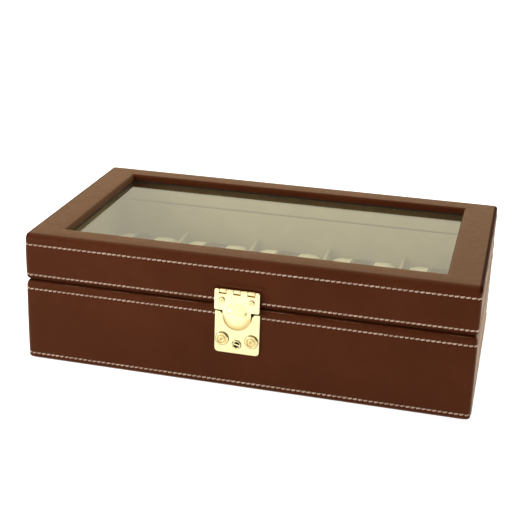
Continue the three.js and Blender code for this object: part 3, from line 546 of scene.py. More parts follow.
# ------------------------------------------------------------------ leather over the lid
def lid_leather():
    T = 1.1
    rows = [STITCH_Z["lid_lower"], STITCH_Z["lid_upper"]]
    floor_z = GLASS_TOP + 0.2
    prof = []                                        # (ix, iy, z, r)
    def both(d, z):
        prof.append((d, d, z))
    for d, z in [(7.05, LID_Z + 0.5), (6.9, LID_Z + 0.1), (6.4, LID_Z), (4.6, LID_Z), (3.2, LID_Z)]:
        both(d, z)
    a, b = 3.2, 3.5
    for x, z in arc(a, LID_Z + b, a, b, 260, 180, 9):
        both(x + groove(z, rows), z)
    ta, tb = 5.6, 7.2                                # the soft rounded top edge
    for z in sorted(wall_levels(LID_Z + b + 0.35, TOP_Z - tb - 0.1, rows) + [79.3, 79.6, 79.9, 80.2, 80.6, 81.0, 81.7, 82.3, 82.9]):
        both(groove(z, rows), z)
    re = 2.5                                         # a tighter fold along the two ends
    for x, z in arc(ta, TOP_Z - tb, ta, tb, 180, 90, 20):
        up = max(0.0, min(re, z - (TOP_Z - re)))
        prof.append((re - math.sqrt(max(0.0, re * re - up * up)) + groove(z, rows), x + groove(z, rows), z))
    # flat of the frame, then down the window's edge
    wr = 1.9
    for t in (0.12, 0.25, 0.4, 0.55, 0.7, 0.85, 1.0):
        ix = re + (WINDOW_X - wr - re) * t
        iy = ta + (WINDOW_Y - wr - ta) * t
        prof.append((ix, iy, TOP_Z + 0.10 * math.sin(math.pi * t)))
    for x, z in arc(0, 0, wr, wr, 90, 0, 8)[1:]:
        prof.append((WINDOW_X - wr + x, WINDOW_Y - wr + x, TOP_Z - wr + z))
    for z in (TOP_Z - wr - 1.0, TOP_Z - wr - 2.2, floor_z + 0.35, floor_z + 0.05):
        prof.append((WINDOW_X, WINDOW_Y, z))
    prof.append((WINDOW_X - 0.3, WINDOW_Y - 0.3, floor_z))
    outer = len(prof)
    prof.append((WINDOW_X - T, WINDOW_Y - T, floor_z))
    prof.append((WINDOW_X - T, WINDOW_Y - T, TOP_Z - wr - 0.8))
    prof.append((WINDOW_X - T - 0.9, WINDOW_Y - T - 0.9, TOP_Z - T))
    prof.append((8.0, 8.0, TOP_Z - T))
    prof += [(4.2, 4.2, TOP_Z - T - 1.2), (2.2, 2.2, TOP_Z - T - 4.0), (T + 0.35, T + 0.35, TOP_Z - 9.5), (T + 0.3, T + 0.3, LID_Z + 8), (T + 0.5, T + 0.5, LID_Z + 4.5), (2.6, 2.6, LID_Z + T + 0.6), (3.6, 3.6, LID_Z + T), (6.6, 6.6, LID_Z + T), (7.05, 7.05, LID_Z + T - 0.1)]
    rings = []
    for ix, iy, z in prof:
        d = min(ix, iy)
        r = max(CORNER_R - d, 0.9) if d < 12 else 0.7
        ring = rect_ring(ix, iy, r, z)
        if z > TOP_Z - 0.4 and 5.5 < d < 22:
            for i, p in enumerate(ring):
                ring[i, 2] += swell(p, 0.10, 30.0, 7.7)
        elif d < 1.6 and LID_Z + 2.5 < z < TOP_Z - 5:
            u = min(max((z - rows[0]) / (rows[1] - rows[0]), 0), 1)
            puff = 0.18 * max(0.0, math.sin(math.pi * u)) ** 0.5
            for i, p in enumerate(ring):
                side = np.array([0.0, 0.0])
                if abs(p[0]) > HW - CORNER_R - d:
                    side[0] = math.copysign(1, p[0])
                if abs(p[1]) > HD - CORNER_R - d:
                    side[1] = math.copysign(1, p[1])
                L = np.linalg.norm(side)
                if L:
                    side = side / L
                near_lock = p[1] < 0 and abs(p[0] - PLATE_X) < 24
                w = (0.0 if near_lock else puff) + swell(p, 0.10, 26.0, 5.3) * (0.3 if near_lock else 1.0)
                if p[1] < 0:                       # the hasp's mounting under the leather
                    w += 1.25 * step01(p[0], -15.8, -14.2) * (1 - step01(p[0], 15.2, 16.8)) * step01(z, 79.3, 80.2) * (1 - step01(z, 81.2, 82.6))
                ring[i, :2] += side * w
        rings.append(ring)
    V = np.concatenate(rings)
    V = carve(V, np.repeat((np.arange(len(rings)) >= outer).astype(float), len(rings[0])))
    F = torus_faces(len(rings), len(rings[0]))
    return make("lid_leather_cover", V, F[:, ::-1] if wrong_way(V, F) else F, LEATHER, "lid", ["lid_leather_wrap"])


# ------------------------------------------------------------------ stitching
def rounded_path(inset, r):
    """Arc-length sampler of the wall's outline: position and outward normal at distance s from the front's left end."""
    x, y = HW - inset, HD - inset
    segs = []
    def line(p, q, n):
        L = math.dist(p, q)
        segs.append(("l", L, p, q, n))
    def corner(cx, cy, a0):
        segs.append(("c", r * math.pi / 2, (cx, cy), a0, None))
    line((-x + r, -y), (x - r, -y), (0, -1)); corner(x - r, -y + r, -90)
    line((x, -y + r), (x, y - r), (1, 0)); corner(x - r, y - r, 0)
    line((x - r, y), (-x + r, y), (0, 1)); corner(-x + r, y - r, 90)
    line((-x, y - r), (-x, -y + r), (-1, 0)); corner(-x + r, -y + r, 180)
    total = sum(s[1] for s in segs)
    def at(s):
        s %= total
        for kind, L, a, b, n in segs:
            if s <= L:
                if kind == "l":
                    t = s / L
                    return (a[0] + (b[0] - a[0]) * t, a[1] + (b[1] - a[1]) * t), n
                ang = math.radians(b + 90 * s / L)
                return (a[0] + r * math.cos(ang), a[1] + r * math.sin(ang)), (math.cos(ang), math.sin(ang))
            s -= L
        return (segs[0][2], segs[0][4])
    return total, at


def stitch_row(name, z0, pitch, body, skip, tilt=0.28, out=0.04, strand=0.42, sides=6, steps=9):
    """Two-ply thread: every stitch is a pair of twisted strands that rise from one hole and dive into the next."""
    total, at = rounded_path(0.30 - out, CORNER_R - 0.3)
    n = int(round(total / pitch))
    pitch = total / n
    V, F = [], []
    for i in range(n):
        s0 = i * pitch
        (mx, my), nn = at(s0 + pitch / 2)
        if my < -HD + 2 and skip and skip[0] < mx < skip[1]:
            continue
        rnd = noise.noise(Vector((i * 1.37, z0, 0.5)))
        rnd2 = noise.noise(Vector((i * 2.11, z0, 4.5)))
        length = pitch * (0.86 + 0.05 * rnd)
        lift = 0.18 + 0.10 * rnd2
        for ply in (0, 1):
            start = len(V)
            cs = []
            for k in range(steps):
                t = k / (steps - 1)
                s = s0 + (pitch - length) / 2 + length * t
                (px, py), nrm = at(s)
                rise = -0.42 + (lift + 0.42) * min(1.0, math.sin(math.pi * t) ** 0.55 if 0 < t < 1 else 0.0)
                zc = z0 + tilt * (t - 0.5) * 2 + 0.05 * rnd
                ph = 2 * math.pi * (1.15 * t + 0.5 * ply) + i * 0.7
                o = 0.33
                cs.append((px + nrm[0] * (rise + o * math.cos(ph)), py + nrm[1] * (rise + o * math.cos(ph)), zc + o * math.sin(ph), nrm))
            for k, (cx, cy, cz, nrm) in enumerate(cs):
                r = strand * (0.72 if k in (0, steps - 1) else 1.0)
                for j in range(sides):
                    a = 2 * math.pi * j / sides
                    V.append((cx + nrm[0] * r * math.cos(a), cy + nrm[1] * r * math.cos(a), cz + r * math.sin(a)))
            for k in range(steps - 1):
                for j in range(sides):
                    a0 = start + k * sides + j
                    a1 = start + k * sides + (j + 1) % sides
                    F.append((a0, a1, a1 + sides, a0 + sides))
            F.append(tuple(start + j for j in range(sides))[::-1])
            F.append(tuple(start + (steps - 1) * sides + j for j in range(sides)))
    ob = make(name, V, F, THREAD, body)
    fix_normals(ob)
    return ob


def fix_normals(ob):
    import bmesh
    bm = bmesh.new()
    bm.from_mesh(ob.data)
    bmesh.ops.recalc_face_normals(bm, faces=bm.faces)
    bm.to_mesh(ob.data)
    bm.free()
    ob.data.update()


# ------------------------------------------------------------------ turned and stamped metal
def lathe(profile, origin, axis="-y", seg=64):
    """A closed turned solid. profile: (radius, distance along the axis), from axis to axis."""
    V, F = [], []
    rings = []
    for r, h in profile:
        if r < 1e-6:
            rings.append([len(V)])
            V.append((0.0, 0.0, h))
        else:
            rings.append(list(range(len(V), len(V) + seg)))
            V += [(r * math.cos(2 * math.pi * i / seg), r * math.sin(2 * math.pi * i / seg), h) for i in range(seg)]
    for a, b in zip(rings, rings[1:]):
        if len(a) == 1 and len(b) == 1:
            continue
        for i in range(seg):
            j = (i + 1) % seg
            if len(a) == 1:
                F.append((a[0], b[i], b[j]))
            elif len(b) == 1:
                F.append((a[i], b[0], a[j]))
            else:
                F.append((a[i], b[i], b[j], a[j]))
    ox, oy, oz = origin
    def put(p):
        u, v, h = p
        if axis == "-y":
            return (ox + u, oy - h, oz + v)
        if axis == "x":
            return (ox + h, oy + u, oz + v)
        return (ox + u, oy + v, oz + h)
    return [put(p) for p in V], F


def merge(*parts):
    V, F, G = [], [], []
    for n, (v, f) in enumerate(parts):
        o = len(V)
        V += list(v)
        F += [tuple(i + o for i in q) for q in f]
        G += [n] * len(f)
    return V, F, G


def soft_profile(pts, r, n=4):
    """Rounds the inner corners of an open profile by radius r."""
    out = [pts[0]]
    for a, b, c in zip(pts, pts[1:], pts[2:]):
        a, b, c = map(np.array, (a, b, c))
        la, lc = np.linalg.norm(a - b), np.linalg.norm(c - b)
        if min(la, lc) < 1e-6:
            continue
        k = min(r, la * 0.45, lc * 0.45)
        p, q = b + (a - b) / la * k, b + (c - b) / lc * k
        for i in range(n + 1):
            t = i / n
            out.append(tuple((1 - t) ** 2 * p + 2 * t * (1 - t) * b + t * t * q))
    out.append(pts[-1])
    return out


def rounded_outline(points, radii, n=6):
    """A closed outline with each corner rounded."""
    out = []
    N = len(points)
    for i in range(N):
        a, b, c = (np.array(points[(i + k) % N], float) for k in (-1, 0, 1))
        r = radii[i]
        if r <= 0:
            out.append(tuple(b))
            continue
        u, v = (a - b) / np.linalg.norm(a - b), (c - b) / np.linalg.norm(c - b)
        ang = math.acos(np.clip(u @ v, -1, 1))
        d = min(r / math.tan(ang / 2), np.linalg.norm(a - b) * 0.49, np.linalg.norm(c - b) * 0.49)
        for k in range(n + 1):
            t = k / n
            p, q = b + u * d, b + v * d
            out.append(tuple((1 - t) ** 2 * p + 2 * t * (1 - t) * b + t * t * q))
    return out


def resample(loop, step):
    out = []
    N = len(loop)
    for i in range(N):
        a, b = np.array(loop[i], float), np.array(loop[(i + 1) % N], float)
        L = np.linalg.norm(b - a)
        m = max(1, int(round(L / step)))
        for k in range(m):
            out.append(tuple(a + (b - a) * k / m))
    return out


def inside(P, loop):
    L = np.array(loop)
    x, y = P[:, 0][:, None], P[:, 1][:, None]
    a, b = L, np.roll(L, -1, 0)
    cond = (a[None, :, 1] > y) != (b[None, :, 1] > y)
    with np.errstate(divide="ignore", invalid="ignore"):
        xs = (b[None, :, 0] - a[None, :, 0]) * (y - a[None, :, 1]) / (b[None, :, 1] - a[None, :, 1]) + a[None, :, 0]
    return (np.where(cond & (x < xs), 1, 0).sum(1) % 2).astype(bool)


def dist_to(P, loops):
    best = np.full(len(P), 1e9)
    for loop in loops:
        a = np.array(loop)
        b = np.roll(a, -1, 0)
        for s in range(0, len(P), 1500):
            p = P[s:s + 1500]
            ab = (b - a)[None]
            ap = p[:, None, :] - a[None]
            t = np.clip((ap * ab).sum(-1) / np.maximum((ab * ab).sum(-1), 1e-12), 0, 1)
            d = np.linalg.norm(ap - ab * t[..., None], axis=-1).min(1)
            best[s:s + 1500] = np.minimum(best[s:s + 1500], d)
    return best


def stamped(outline, holes, yf, yb, edge=0.35, height=None, step=0.55, grid=0.7):
    """A stamped plate that faces -Y, in the XZ plane: true outline and holes, rounded front edges, and a front shape given by height(x, z)."""
    loops = [resample(outline, step)] + [resample(h, step) for h in holes]
    pts, edges = [], []
    for loop in loops:
        o = len(pts)
        pts += loop
        edges += [(o + i, o + (i + 1) % len(loop)) for i in range(len(loop))]
    B = np.array(pts)
    extra = []
    for loop in loops:
        a = np.array(loop)
        t = np.roll(a, -1, 0) - np.roll(a, 1, 0)
        nrm = np.stack([-t[:, 1], t[:, 0]], 1)
        nrm /= np.maximum(np.linalg.norm(nrm, axis=1), 1e-9)[:, None]
        for d in (0.3 * edge, 0.65 * edge, 1.05 * edge):
            for sgn in (1, -1):
                q = a + nrm * d * sgn
                ok = inside(q, loops[0]) & np.logical_not(np.any([inside(q, h) for h in loops[1:]], axis=0) if len(loops) > 1 else np.zeros(len(q), bool))
                ok &= dist_to(q, loops) > 0.9 * d
                extra.append(q[ok])
    lo, hi = B.min(0), B.max(0)
    gx, gz = np.meshgrid(np.arange(lo[0] + grid / 2, hi[0], grid), np.arange(lo[1] + grid / 2, hi[1], grid))
    gx = gx + (np.arange(gx.shape[0]) % 2)[:, None] * grid / 2
    g = np.stack([gx.ravel(), gz.ravel()], 1)
    ok = inside(g, loops[0])
    for h in loops[1:]:
        ok &= ~inside(g, h)
    g = g[ok]
    g = g[dist_to(g, loops) > 1.3 * edge + 0.1]
    allp = np.concatenate([B] + extra + [g])
    v2, e2, f2, *_ = delaunay_2d_cdt([Vector(p) for p in allp], edges, [], 1, 1e-5)
    P = np.array([(v.x, v.y) for v in v2])
    tri = np.array([f for f in f2 if len(f) == 3])
    c = P[tri].mean(1)
    keep = inside(c, loops[0])
    for h in loops[1:]:
        keep &= ~inside(c, h)
    tri = tri[keep]
    used = np.unique(tri)
    remap = -np.ones(len(P), int)
    remap[used] = np.arange(len(used))
    P, tri = P[used], remap[tri]
    d = dist_to(P, loops)
    drop = np.where(d < edge, edge - np.sqrt(np.maximum(edge ** 2 - (edge - np.minimum(d, edge)) ** 2, 0)), 0.0)
    h = np.zeros(len(P)) if height is None else np.array([height(x, z) for x, z in P])
    front = np.stack([P[:, 0], yf + drop - h, P[:, 1]], 1)
    back = np.stack([P[:, 0], np.full(len(P), yb), P[:, 1]], 1)
    n = len(P)
    # front must face -Y: triangle turning the right way in XZ
    a, b, cc = P[tri[:, 0]], P[tri[:, 1]], P[tri[:, 2]]
    area = (b[:, 0] - a[:, 0]) * (cc[:, 1] - a[:, 1]) - (b[:, 1] - a[:, 1]) * (cc[:, 0] - a[:, 0])
    tri = np.where(area[:, None] > 0, tri, tri[:, ::-1])
    F = [tuple(t) for t in tri] + [tuple(t[::-1] + n) for t in tri]
    count = {}
    for t in tri:
        for i in range(3):
            e = (int(t[i]), int(t[(i + 1) % 3]))
            count[e] = count.get(e, 0) + 1
    for (i, j) in list(count):
        if (j, i) not in count:
            F.append((j, i, i + n, j + n))
    return [tuple(v) for v in np.concatenate([front, back])], F


def circle(cx, cz, r, n=48):
    return [(cx + r * math.cos(2 * math.pi * i / n), cz + r * math.sin(2 * math.pi * i / n)) for i in range(n)]


def barrel(x0, x1, y, z, r, seg=40, c=0.18):
    """One hinge knuckle with eased ends."""
    prof = [(0, x0), (r - c, x0), (r - 0.3 * c, x0 + 0.3 * c), (r, x0 + c), (r, x1 - c), (r - 0.3 * c, x1 - 0.3 * c), (r - c, x1), (0, x1)]
    return lathe(prof, (0, y, z), "x", seg)


def slab(x0, x1, y0, y1, z0, z1, c=0.2):
    """A rectangular bar with eased edges: three nested rings each way."""
    V, F = [], []
    def ring(i, z):
        return [(x0 + i, y0 + i, z), (x1 - i, y0 + i, z), (x1 - i, y1 - i, z), (x0 + i, y1 - i, z)]
    levels = [(c, z0), (0.3 * c, z0 + 0.3 * c), (0, z0 + c), (0, z1 - c), (0.3 * c, z1 - 0.3 * c), (c, z1)]
    for i, z in levels:
        V += ring(i, z)
    for k in range(len(levels) - 1):
        for j in range(4):
            a, b = k * 4 + j, k * 4 + (j + 1) % 4
            F.append((a, b, b + 4, a + 4))
    F.append((3, 2, 1, 0))
    t = (len(levels) - 1) * 4
    F.append((t, t + 1, t + 2, t + 3))
    return V, F


# lower plate ------------------------------------------------------
def lock_plate():
    x, w = PLATE_X, PLATE_HW
    s0 = 51.7
    o = rounded_outline([(x - w, PLATE_Z0), (x + w, PLATE_Z0), (x + w, PLATE_Z1), (x + 12.6, PLATE_Z1 - 0.3), (x + 10.6, PLATE_Z1 - 2.3), (x + 4.7, PLATE_Z1 - 2.3), (x + 4.7, s0), (x - 4.7, s0), (x - 4.7, PLATE_Z1 - 2.0), (x - 11.0, PLATE_Z1 - 2.0), (x - 12.8, PLATE_Z1 - 0.3), (x - w, PLATE_Z1)],
                        [3.4, 3.4, 0.8, 1.0, 1.0, 0.4, 0.5, 0.5, 0.4, 1.0, 1.0, 0.8])
    kz = KEY_Z
    v, f = stamped(o, [circle(x, kz, 3.4)], PLATE_YF, PLATE_YB, edge=0.45)
    return make("lock_plate_brass", v, f, [BRASS, BRASS_SIDE_SHADE], "base", ["lock_plate"], face_mats=[int(len(q) == 4) for q in f], angle=50)


_lo, _hi = box_mm("lock_cylinder")
KEY_Z = (_lo[2] + _hi[2]) / 2
_lo, _hi = box_mm("lock_rivet_left")
RIVET_X_L, RIVET_Z, RIVET_YF, RIVET_R = (_lo[0] + _hi[0]) / 2, (_lo[2] + _hi[2]) / 2, _lo[1], (_hi[2] - _lo[2]) / 2
_lo, _hi = box_mm("lock_rivet_right")
RIVET_X_R = (_lo[0] + _hi[0]) / 2


def ringed(V, F, x, z, *bands):
    """1 for faces in the given rings round (x, z), else 0; 2 for the last ring, the side of the head."""
    P = np.array(V)
    out = []
    for q in F:
        c = P[list(q)].mean(0)
        r = math.hypot(c[0] - x, c[2] - z)
        hit = [i for i, (a, b) in enumerate(bands) if a <= r < b]
        out.append(0 if not hit else (2 if hit[0] == len(bands) - 1 else 1))
    return out


def lock_rivets():
    for x, side in ((RIVET_X_L, "left"), (RIVET_X_R, "right")):
        R = 5.15
        back = PLATE_YF - 0.1
        h = back - RIVET_YF                        # how far the head stands out
        pts = [(0, h - 0.55), (0.85, h - 0.50), (1.15, h - 0.05), (1.7, h), (2.35, h - 0.05), (2.7, h - 0.42), (3.15, h - 0.42), (3.45, h - 0.05), (4.1, h - 0.10), (4.75, h - 0.45), (R, h - 0.95), (R, 0.0), (1.2, 0.0), (1.2, -6.8), (0, -7.2)]
        v, f = lathe(soft_profile(pts, 0.35, 3), (x, back, RIVET_Z), "-y", 72)
        make(f"lock_rivet_{side}_turned", v, f, [BRASS_RIVET, BRASS_DEEP, BRASS_SIDE_SHADE], "base", [f"lock_rivet_{side}"], face_mats=ringed(v, f, x, RIVET_Z, (0.0, 0.95), (2.55, 3.35), (4.95, 5.6)), angle=55)


def lock_plug():
    x, back = PLATE_X, PLATE_YF + 1.4
    h = back - KEY_YF
    pts = [(0, h - 1.55), (2.15, h - 1.55), (2.35, h - 0.15), (2.55, h), (2.9, h - 0.02), (3.1, h - 0.25), (3.1, 0.1), (4.4, 0.1), (4.4, -0.9), (0, -0.9)]
    v1, f1 = lathe(soft_profile(pts, 0.12, 2), (x, back, KEY_Z), "-y", 56)
    # the bar across the keyway, a little off level as the key left it
    bv, bf = slab(-2.35, 2.35, 0, 1.3, -0.62, 0.62, 0.2)
    t = math.radians(-14)
    bv = [(x + p[0] * math.cos(t) - p[2] * math.sin(t), KEY_YF + 0.10 + p[1], KEY_Z + p[0] * math.sin(t) + p[2] * math.cos(t)) for p in bv]
    off = 3.0
    pv, pf = lathe([(0, 0.8), (0.62, 0.8), (0.8, 0.62), (0.8, -1.2), (0, -1.2)], (x + off * math.cos(-math.pi / 4), back + 1.7, KEY_Z + off * math.sin(-math.pi / 4)), "-y", 20)
    V, F, G = merge((v1, f1), (bv, bf), (pv, pf))
    # the keyway's floor and walls take the near-black painted shade
    mats = []
    VV = np.array(V)
    for q, g in zip(F, G):
        c = VV[list(q)].mean(0)
        rr = math.hypot(c[0] - x, c[2] - KEY_Z)
        mats.append(1 if (g == 0 and rr < 2.42 and c[1] > KEY_YF + 0.12 and c[1] < back) else 0)
    make("lock_plug", V, F, [BRASS, KEYWAY_SHADE], "lock_cylinder", ["lock_cylinder"], face_mats=mats, angle=45)


_lo, _hi = box_mm("hasp")
HASP_X, HASP_HW, HASP_ZT, HASP_ZB = (_lo[0] + _hi[0]) / 2, (_hi[0] - _lo[0]) / 2, _hi[2], _lo[2]
_lo, _hi = box_mm("hasp_staple")
STAPLE_YF = _lo[1]
HASP_YB, HASP_YF = -97.6, -98.8
STUD_Z = 70.4
DOME_Z, DOME_R = 58.0, 10.6
EAR_Z = 62.2


BRASS_HASP = brass_material("hasp_brass", (0.88, 0.785, 0.425), 0.15, 1.0, (HASP_X, DOME_Z + 1.5, DOME_R + 1.0))


def hasp_plate():
    x, w = HASP_X, HASP_HW
    top = PIN_Z - 1.6 - 0.35
    e = 13.35
    R = DOME_R
    tongue = [(x + R * math.cos(a), DOME_Z + R * math.sin(a)) for a in np.linspace(0, -math.pi, 40)]
    right = rounded_outline([(x + R, EAR_Z), (x + w, EAR_Z), (x + w, HASP_ZT), (x + e, HASP_ZT), (x + e, top), (x - e, top), (x - e, HASP_ZT), (x - w, HASP_ZT), (x - w, EAR_Z), (x - R, EAR_Z)],
                            [0, 1.4, 2.4, 0.5, 0.35, 0.35, 0.5, 2.4, 1.4, 0])
    o = right + tongue[::-1]
    # the outline above runs anticlockwise from the right of the tongue; close it round the tongue
    o = right + [(x + R * math.cos(a), DOME_Z + R * math.sin(a)) for a in np.linspace(-math.pi, 0, 40)]
    def bulge(px, pz):
        """The domed tongue: full and steep low down, running out upwards into the flat of the plate."""
        zc = DOME_Z + 0.9
        if pz < zc:
            u, v = (px - x) / (R - 0.7), (pz - zc) / (R + 0.25)
            q = min(u * u + v * v, 1.0)
            return 3.2 * (1 - q) ** 0.72
        t = step01(pz, zc, zc + 11.5)
        u = (px - x) / (R - 0.7 + 1.5 * t)
        q = min(u * u, 1.0)
        return 3.2 * (1 - t) * (1 - q) ** (0.72 + 1.5 * t)
    def shape(px, pz):
        h = bulge(px, pz)
        for sx in (-11, 11):                       # set down a little under each stud
            d = math.hypot(px - x - sx, pz - STUD_Z)
            h += 0.22 * math.exp(-((d - 3.0) / 0.7) ** 2)
        return h
    v, f = stamped(o, [], HASP_YF, HASP_YB, edge=0.5, height=shape, step=0.5, grid=0.55)
    k = 26.0 / 5
    parts = [(v, f)]
    for i in (1, 3):
        x0, x1 = x - 13 + i * k + 0.15, x - 13 + (i + 1) * k - 0.15
        parts.append(barrel(x0, x1, PIN_Y, PIN_Z, 1.6))
        parts.append(slab(x0, x1, HASP_YF + 0.05, HASP_YB - 0.02, top - 0.6, PIN_Z - 0.3, 0.15))
    V, F, G = merge(*parts)
    make("hasp_stamping", V, F, [BRASS_HASP, BRASS_SIDE_SHADE], "hasp", ["hasp"], face_mats=[int(g == 0 and len(q) == 4) for q, g in zip(F, G)], angle=50)


def hasp_studs():
    """The two studs peened over the ears, with the bracket and staple behind."""
    parts = []
    yf = HASP_YF - 0.25
    for sx in (-11, 11):
        h = yf - STAPLE_YF
        pts = [(0, h - 0.38), (0.5, h - 0.34), (0.8, h - 0.02), (1.2, h), (1.75, h - 0.18), (2.2, h - 0.62), (2.2, 0.0), (1.0, 0.0), (1.0, -1.6), (0, -1.6)]
        parts.append(lathe(soft_profile(pts, 0.16, 3), (HASP_X + sx, yf, STUD_Z), "-y", 48))
    x = HASP_X
    yb = HASP_YB + 0.3
    o = rounded_outline([(x + 13, 67.8), (x + 13, 72.2), (x - 13, 72.2), (x - 13, 67.8), (x - 6, 67.8), (x - 5, 52.2), (x + 5, 52.2), (x + 6, 67.8)], [0.8] * 8, 4)
    parts.append(stamped(o, [], yb, yb + 0.7, edge=0.15, step=1.0, grid=2.0))
    for x0, x1 in ((-4, -2.1), (2.1, 4)):
        parts.append(slab(x + x0, x + x1, yb + 0.1, -91.6, 53.2, 54.8, 0.2))
    parts.append(slab(x - 4, x + 4, -92.2, -91.6, 53.2, 54.8, 0.12))
    parts.append(slab(x - 4, x + 4, yb + 0.1, -94.2, 53.2, 54.8, 0.2))
    V, F, G = merge(*parts)
    marks = [0] * len(F)
    for sx in (-11, 11):
        for i, m in enumerate(ringed(V, F, HASP_X + sx, STUD_Z, (0.0, 0.62), (1.55, 1.95), (2.1, 2.6))):
            if m and G[i] in (0, 1):
                marks[i] = m
    make("hasp_studs_and_staple", V, F, [BRASS, BRASS_DEEP, BRASS_SIDE_SHADE], "hasp", ["hasp_staple"], face_mats=marks, angle=50)


def hasp_hinge():
    x, k = HASP_X, 26.0 / 5
    parts = [barrel(x - 13 + i * k + (0.15 if i else 0), x - 13 + (i + 1) * k - (0.15 if i < 4 else 0), PIN_Y, PIN_Z, 1.6) for i in (0, 2, 4)]
    parts.append(slab(x - 13, x + 13, -96.2, -95.1, 67.2, PIN_Z - 1.9, 0.2))
    for i in (0, 2, 4):
        parts.append(slab(x - 13 + i * k + 0.2, x - 13 + (i + 1) * k - 0.2, -96.2, -95.1, PIN_Z - 2.2, PIN_Z + 0.5, 0.2))
    for sx in (-7, 7):
        parts.append(lathe([(0, 0), (1.0, 0), (1.0, -5.6), (0, -5.8)], (x + sx, -95.2, 70.8), "-y", 20))
    V, F, G = merge(*parts)
    make("hasp_hinge_leaf", V, F, BRASS_HINGE, "lid", ["hasp_leaf"], angle=50)
    prof = [(0, PIN_X0), (0.45, PIN_X0), (0.6, PIN_X0 + 0.15), (0.6, PIN_X1 - 0.15), (0.45, PIN_X1), (0, PIN_X1)]
    v, f = lathe(prof, (0, PIN_Y, PIN_Z), "x", 24)
    make("hasp_hinge_pin", v, f, BRASS_HINGE, "lid", ["hasp_pin"], angle=50)


def rear_hinges():
    for side, hx in (("left", -105.0), ("right", 105.0)):
        lo, hi = box_mm(f"hinge_{side}_pin")
        ay, az = (lo[1] + hi[1]) / 2, (lo[2] + hi[2]) / 2
        x0, x1 = hx - 16, hx + 16
        k, g = 32 / 5, 0.15
        for leaf, idx, z0, z1, body in (("base", (0, 2, 4), RIM_Z - 1.2, RIM_Z, "base"), ("lid", (1, 3), LID_Z, LID_Z + 1.2, "lid")):
            parts = [barrel(x0 + i * k + (g if i else 0), x0 + (i + 1) * k - (g if i < 4 else 0), ay, az, 2.4, 48) for i in idx]
            parts.append(slab(x0, x1, 88.5, HD + 0.15, z0, z1, 0.2))
            for i in idx:
                parts.append(slab(x0 + i * k + (g if i else 0), x0 + (i + 1) * k - (g if i < 4 else 0), HD - 0.6, ay - 1.0, z0, z1, 0.1))
            V, F, G = merge(*parts)
            make(f"hinge_{side}_{leaf}_leaf_fine", V, F, BRASS_HINGE, body, [f"hinge_{side}_{leaf}_leaf"], angle=50)
        prof = [(0, x0 - 0.9), (1.0, x0 - 0.88), (1.45, x0 - 0.72), (1.6, x0 - 0.45), (1.6, x0 - 0.1), (0.95, x0 - 0.1), (0.95, x1 + 0.1), (1.6, x1 + 0.1), (1.6, x1 + 0.45), (1.45, x1 + 0.72), (1.0, x1 + 0.88), (0, x1 + 0.9)]
        v, f = lathe(prof, (0, ay, az), "x", 32)
        make(f"hinge_{side}_pin_turned", v, f, BRASS_HINGE, "base", [f"hinge_{side}_pin"], angle=50)
        for leaf, sgn, zf, body in (("base", 1, RIM_Z - 0.1, "base"), ("lid", -1, LID_Z + 0.1, "lid")):
            for n, dx in ((1, -10), (2, 10)):
                xc = hx + dx
                t = 0.5 + 0.9 * n
                # slotted countersunk head: a disc with a slot sunk across it
                c, s = math.cos(t), math.sin(t)
                slot = [(xc + u * c - w * s, u * s + w * c) for u, w in ((-1.35, -0.2), (1.35, -0.2), (1.35, 0.2), (-1.35, 0.2))]
                v, f = stamped(circle(xc, 0, 1.8, 40), [slot], 0.0, 0.45, edge=0.1, step=0.4, grid=0.7)
                v = [(p[0], SCREW_Y + p[2], zf - sgn * p[1]) for p in v]
                sh = [(0, 0.4), (1.5, 0.4), (0.9, 1.3), (0.9, 6.2), (0, 8.3)]
                v2, f2 = lathe(sh, (xc, SCREW_Y, 0), "z", 20)
                v2 = [(p[0], p[1], zf - sgn * p[2]) for p in v2]
                V, F, G = merge((v, f), (v2, f2))
                ob = make(f"hinge_{side}_{leaf}_screw_{n}_slotted", V, F, BRASS_HINGE, body, [f"hinge_{side}_{leaf}_screw_{n}"], angle=40)
                fix_normals(ob)


_lo, _hi = box_mm("hinge_left_base_screw_1")
SCREW_Y = (_lo[1] + _hi[1]) / 2


# ------------------------------------------------------------------ cushions
CELLS = {}
for _n in NODES:
    if _n.startswith("watch_cushion_"):
        CELLS[_n] = box_mm(_n)


def pillow_source(cx, cy, cz, shrink):
    """A closed rounded block to start the pillow from, in mm about its own middle."""
    import bmesh
    bm = bmesh.new()
    bmesh.ops.create_cube(bm, size=1.0)
    for v in bm.verts:
        v.co = Vector((v.co.x * (cx - 2 * shrink), v.co.y * (cy - 2 * shrink), v.co.z * (cz - 2 * shrink))) * MM
    bmesh.ops.bevel(bm, geom=list(bm.edges), offset=5.5 * MM, segments=5, profile=0.5, affect="EDGES")
    me = bpy.data.meshes.new("pillow_source")
    bm.to_mesh(me)
    bm.free()
    ob = bpy.data.objects.new("pillow_source", me)
    SCENE.collection.objects.link(ob)
    return ob


def apply_modifiers(ob):
    dg = bpy.context.evaluated_depsgraph_get()
    me = bpy.data.meshes.new_from_object(ob.evaluated_get(dg))
    old = ob.data
    ob.modifiers.clear()
    ob.data = me
    return ob


